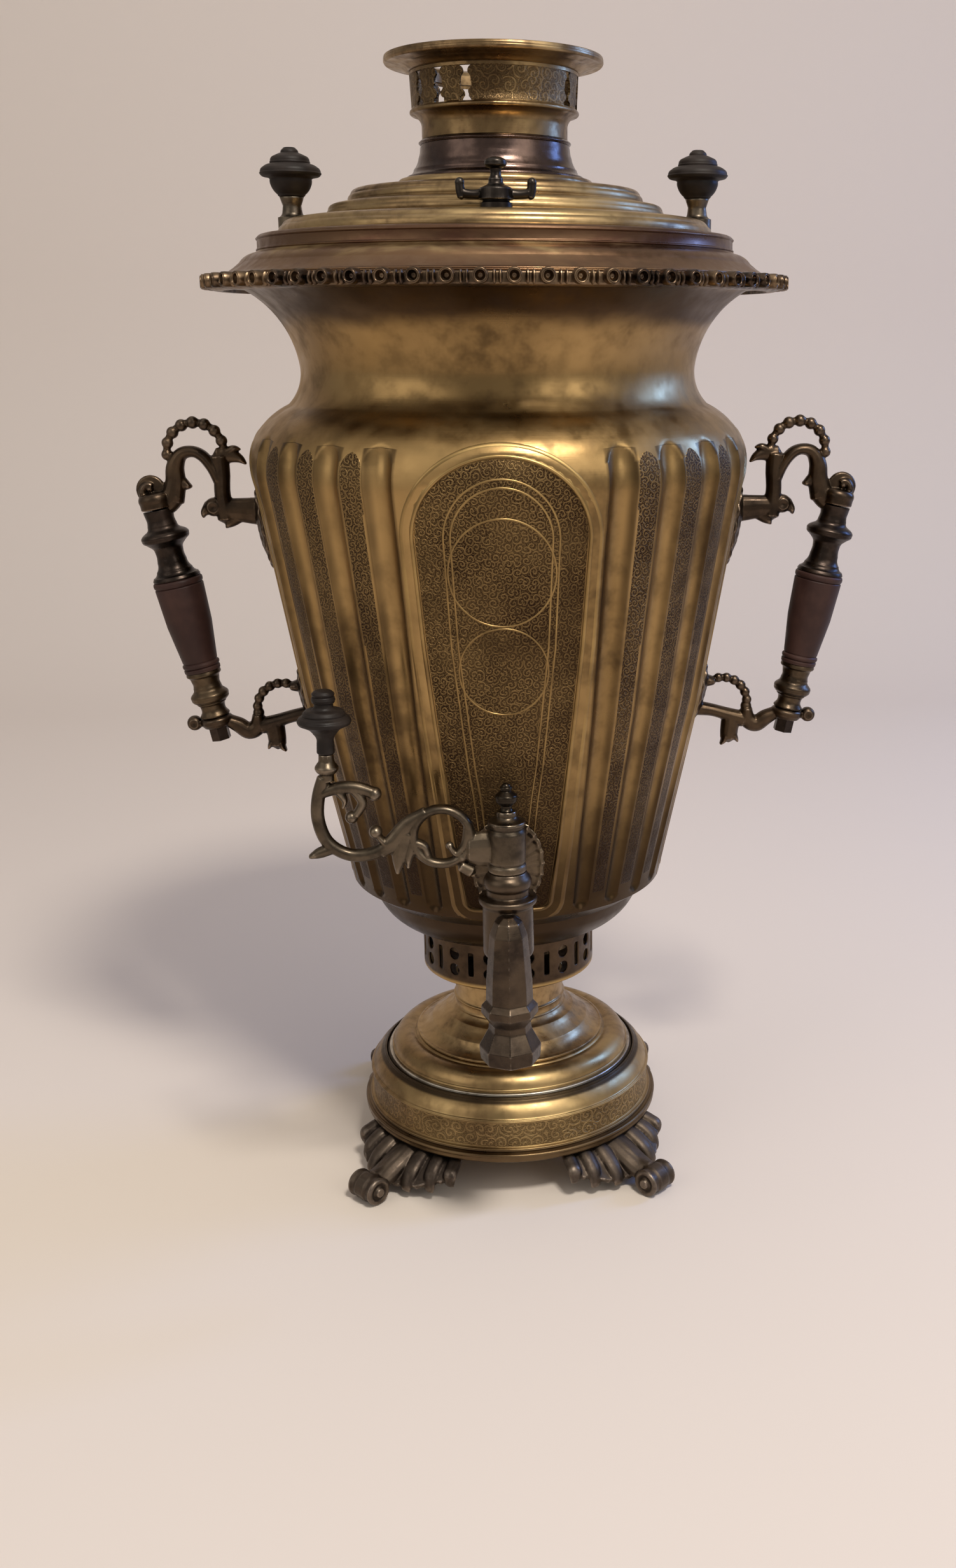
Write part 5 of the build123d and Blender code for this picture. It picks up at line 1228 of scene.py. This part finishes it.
shape = bmesh.new()
revolved(shape, arc_points([
    (0, 484.2), (2.2, 484.2), (2.2, 492.98), (6.1, 492.98), (6.1, 491.0), (7.1, 491.0),
    (7.3, 492.0, 0.2), (7.0, 495.4), (6.0, 496.2, 0.2), (4.0, 497.0), (3.2, 499.4, -0.4),
    (2.3, 502.2, -0.3), (2.6, 503.8), (4.4, 504.6, 0.2), (4.7, 505.8, 0.2), (4.0, 507.3, 0.3),
    (1.0, 508.3, 0.2), (0, 508.35)]), 40,
    Matrix.Translation((0, VENT_Y, 0)))
for side in (-1, 1):
    limbs(shape, (0, VENT_Y, 493.2), [
        [(side * 6.2, 0.2, 2.2), (side * 9.5, 0.0, 1.9), (side * 12.5, 0.2, 2.0),
         (side * 14.2, 0.6, 2.1)],
        [(side * 14.8, -1.2, 1.7), (side * 15.2, 1.6, 2.0), (side * 15.4, 4.4, 2.0)]], 2.0)
    ball(shape, (side * 15.4, VENT_Y, 498.0), 2.1)
seat(fused("vent_cap_skin", shape, vent_metal, 0.25, 2), "vent_cap", "vent_cap", slot="brass_trim")

GROUND = (0.0, 0.0, 0.0)


def leaf_web(shape, half_angle, thick):
    """Adds the curved plate of a foot's leaf, longest in the middle."""
    stations = [(70.0, 20.3), (78.0, 19.6), (84.5, 16.6), (91.0, 10.8), (96.0, 7.0)]
    line = [Vector(point) for point in spline(stations, 4)]
    last = len(line) - 1
    half_steps = 12
    rows = []
    for step in range(-half_steps, half_steps + 1):
        angle = math.radians(half_angle * step / half_steps)
        reach = 1.0 - 0.42 * (abs(step) / half_steps) ** 1.3 - 0.03 * math.cos(step * math.pi / 2)
        over = [line[min(last, round(place * reach))] for place in range(len(line))]
        under = [point + Vector((-0.55, -1.0)) * thick for point in over]
        rows.append([
            shape.verts.new((point.x * math.cos(angle), point.x * math.sin(angle), point.y))
            for point in over + under[::-1]])
    for low, high in zip(rows, rows[1:]):
        bridge(shape, low, high)
    shape.faces.new(rows[0])
    shape.faces.new(rows[-1])


shape = bmesh.new()
leaf_web(shape, 24.0, 2.4)
tube(shape, GROUND, [(64.0, 19.9, 1.8), (71.0, 19.0, 2.7), (79.0, 17.2, 4.0), (88.0, 13.0, 5.0),
                     (96.0, 9.8, 4.8), (103.0, 8.6, 4.4)], 8.0)
tube(shape, GROUND, [(79.0, 20.0, 1.4), (88.0, 17.0, 1.8), (96.0, 13.4, 1.7), (103.0, 13.4, 1.4)],
     2.6)
toe = [(0, -10.0), (2.4, -10.0), (2.9, -8.3), (4.3, -8.0), (5.1, -9.0), (6.6, -8.8), (7.4, -7.6),
       (6.7, -5.0), (7.3, -3.0, -0.2), (7.3, 3.0), (6.7, 5.0, -0.2), (7.4, 7.6), (6.6, 8.8),
       (5.1, 9.0), (4.3, 8.0), (2.9, 8.3), (2.4, 10.0), (0, 10.0)]
toe_place = Matrix.Translation((106.5, 0, 7.45)) @ Matrix.Rotation(math.radians(90), 4, "X")
revolved(shape, arc_points(toe), 36, toe_place)
LOBES = ((-23, 87.5, 11.5, 3.6), (-16, 90.0, 7.0, 3.8), (-8.5, 94.0, 6.2, 4.2),
         (8.5, 94.0, 6.2, 4.2), (16, 90.0, 7.0, 3.8), (23, 87.5, 11.5, 3.6))
for angle, reach, drop, wide in LOBES:
    first = len(shape.verts)
    tube(shape, GROUND, [
        (73.0, 20.2, 1.3), (79.0, 19.6, 2.0), (83.5, 17.4, 2.5),
        ((83.5 + reach) / 2 + 1.2, 0.5 * (17.4 + drop) + 1.2, 2.4), (reach, drop + 1.0, 1.7),
        (reach - 0.5, drop - 2.2, 0.8)], wide)
    shape.verts.ensure_lookup_table()
    bmesh.ops.rotate(shape, verts=shape.verts[first:], cent=GROUND,
                     matrix=Matrix.Rotation(math.radians(angle), 3, "Z"))
feet = ["foot_" + end for end in ("front_left", "front_right", "back_left", "back_right")]
foot = fused("feet_skin", shape, foot_metal, 0.5, 3, 24000)
seat(ringed(foot, 4, 45, foot_metal), "urn", *feet, slot="bronze_foot")


# --- Plain pieces ---------------------------------------------------------------------------------

plain = {
    "base_plate": brass_base, "fire_tube": tube_metal, "fire_grate": iron, "foot_screws": steel,
    "tap_washer": packing, "tap_nut": tap_metal, "lid_knob_nuts": brass, "vent_seat": vent_metal,
    "crown_sleeve": brass_crown,
}
for side in ("left_", "right_"):
    plain.update({side + "grip_rod": steel, side + "rod_nut": dark_turned,
                  side + "lid_knob_stem": stem_metal})
body_of = {node_name: body for body, node_names in frame["record"]["behaviour"]["bodies"].items()
           for node_name in node_names}
for node_name, finish in plain.items():
    seat(dressed(node_name, node_name + "_skin", finish), body_of[node_name], node_name)


# --- Floor, light and camera ----------------------------------------------------------------------

def sweep_floor():
    """Pale floor that curves up into a backdrop, in metres."""
    half, back, height, radius, steps = 3.0, 1.5, 2.6, 0.5, 12
    start = back - radius
    shape = bmesh.new()
    turns = [step * math.pi / (2 * steps) for step in range(1, steps)]
    path = [(-half, 0.0), (start, 0.0)]
    path += [(start + radius * math.sin(turn), radius - radius * math.cos(turn)) for turn in turns]
    path += [(back, radius), (back, height)]
    rows = [[shape.verts.new((x, y, z)) for x in (-half, half)] for y, z in path]
    for low, high in zip(rows, rows[1:]):
        shape.faces.new((low[0], low[1], high[1], high[0]))
    mesh = bpy.data.meshes.new("floor")
    shape.to_mesh(mesh)
    shape.free()
    mesh.shade_smooth()
    return placed("floor", mesh)


floor = sweep_floor()
paper = bpy.data.materials.new("floor_paper")
paper.use_nodes = True
paper_shader = paper.node_tree.nodes["Principled BSDF"]
paper_shader.inputs["Base Color"].default_value = (0.68, 0.605, 0.54, 1)
paper_shader.inputs["Roughness"].default_value = 0.9
floor.data.materials.append(paper)

MIDDLE = Vector((0, 0, 0.3))                       # where every light points
LIGHTS = (                                         # name, place, size, power and tint
    ("light_window_right", (1.5, 0.45, 0.95), (0.30, 0.8), 11, (0.16, 0.36, 1.0)),
    ("light_room_right", (1.3, -1.5, 1.3), (1.2, 1.2), 8, (1.0, 0.95, 0.88)),
    ("light_room_left", (-1.7, -1.2, 1.3), (1.6, 1.6), 7.5, (1.0, 0.93, 0.84)),
    ("light_lamp", (0.42, -0.95, 1.8), (0.34, 0.30), 26, (1.0, 0.94, 0.85)),
    ("light_ceiling", (-0.3, 0.1, 2.3), (1.8, 1.8), 5, (1.0, 0.94, 0.86)),
)
for name, place, size, power, tint in LIGHTS:
    data = bpy.data.lights.new(name, "AREA")
    data.shape = "RECTANGLE"
    data.size, data.size_y = size
    data.energy = power
    data.color = tint
    light = placed(name, data)
    light.location = place
    light.rotation_euler = (MIDDLE - Vector(place)).to_track_quat("-Z", "Y").to_euler()

world = bpy.data.worlds.new("world")
bpy.context.scene.world = world
world.use_nodes = True
sky = world.node_tree.nodes["Background"]
sky.inputs["Color"].default_value = (0.62, 0.58, 0.54, 1)
sky.inputs["Strength"].default_value = 0.55

camera_data = bpy.data.cameras.new("camera")
camera_data.lens = 35.065
camera_data.sensor_width = 36
camera_data.shift_x = -0.0745
camera = placed("camera", camera_data)
bpy.context.scene.camera = camera
CAMERA_PLACE = Vector((-0.29, -787.1, 439.35))     # millimetres
yaw, pitch, roll = 0.0611, 0.2913, 0.0006
ahead = Vector((math.sin(yaw), math.cos(yaw), 0))
aside = Vector((math.cos(yaw), -math.sin(yaw), 0))
gaze = ahead * math.cos(pitch) - Vector((0, 0, math.sin(pitch)))
upward = Vector((0, 0, math.cos(pitch))) + ahead * math.sin(pitch)
across = aside * math.cos(roll) + upward * math.sin(roll)
upright = upward * math.cos(roll) - aside * math.sin(roll)
turn = Matrix((across, upright, -gaze)).transposed().to_4x4()
camera.matrix_world = Matrix.Translation(CAMERA_PLACE * MM) @ turn

bpy.context.scene.view_settings.view_transform = "Standard"
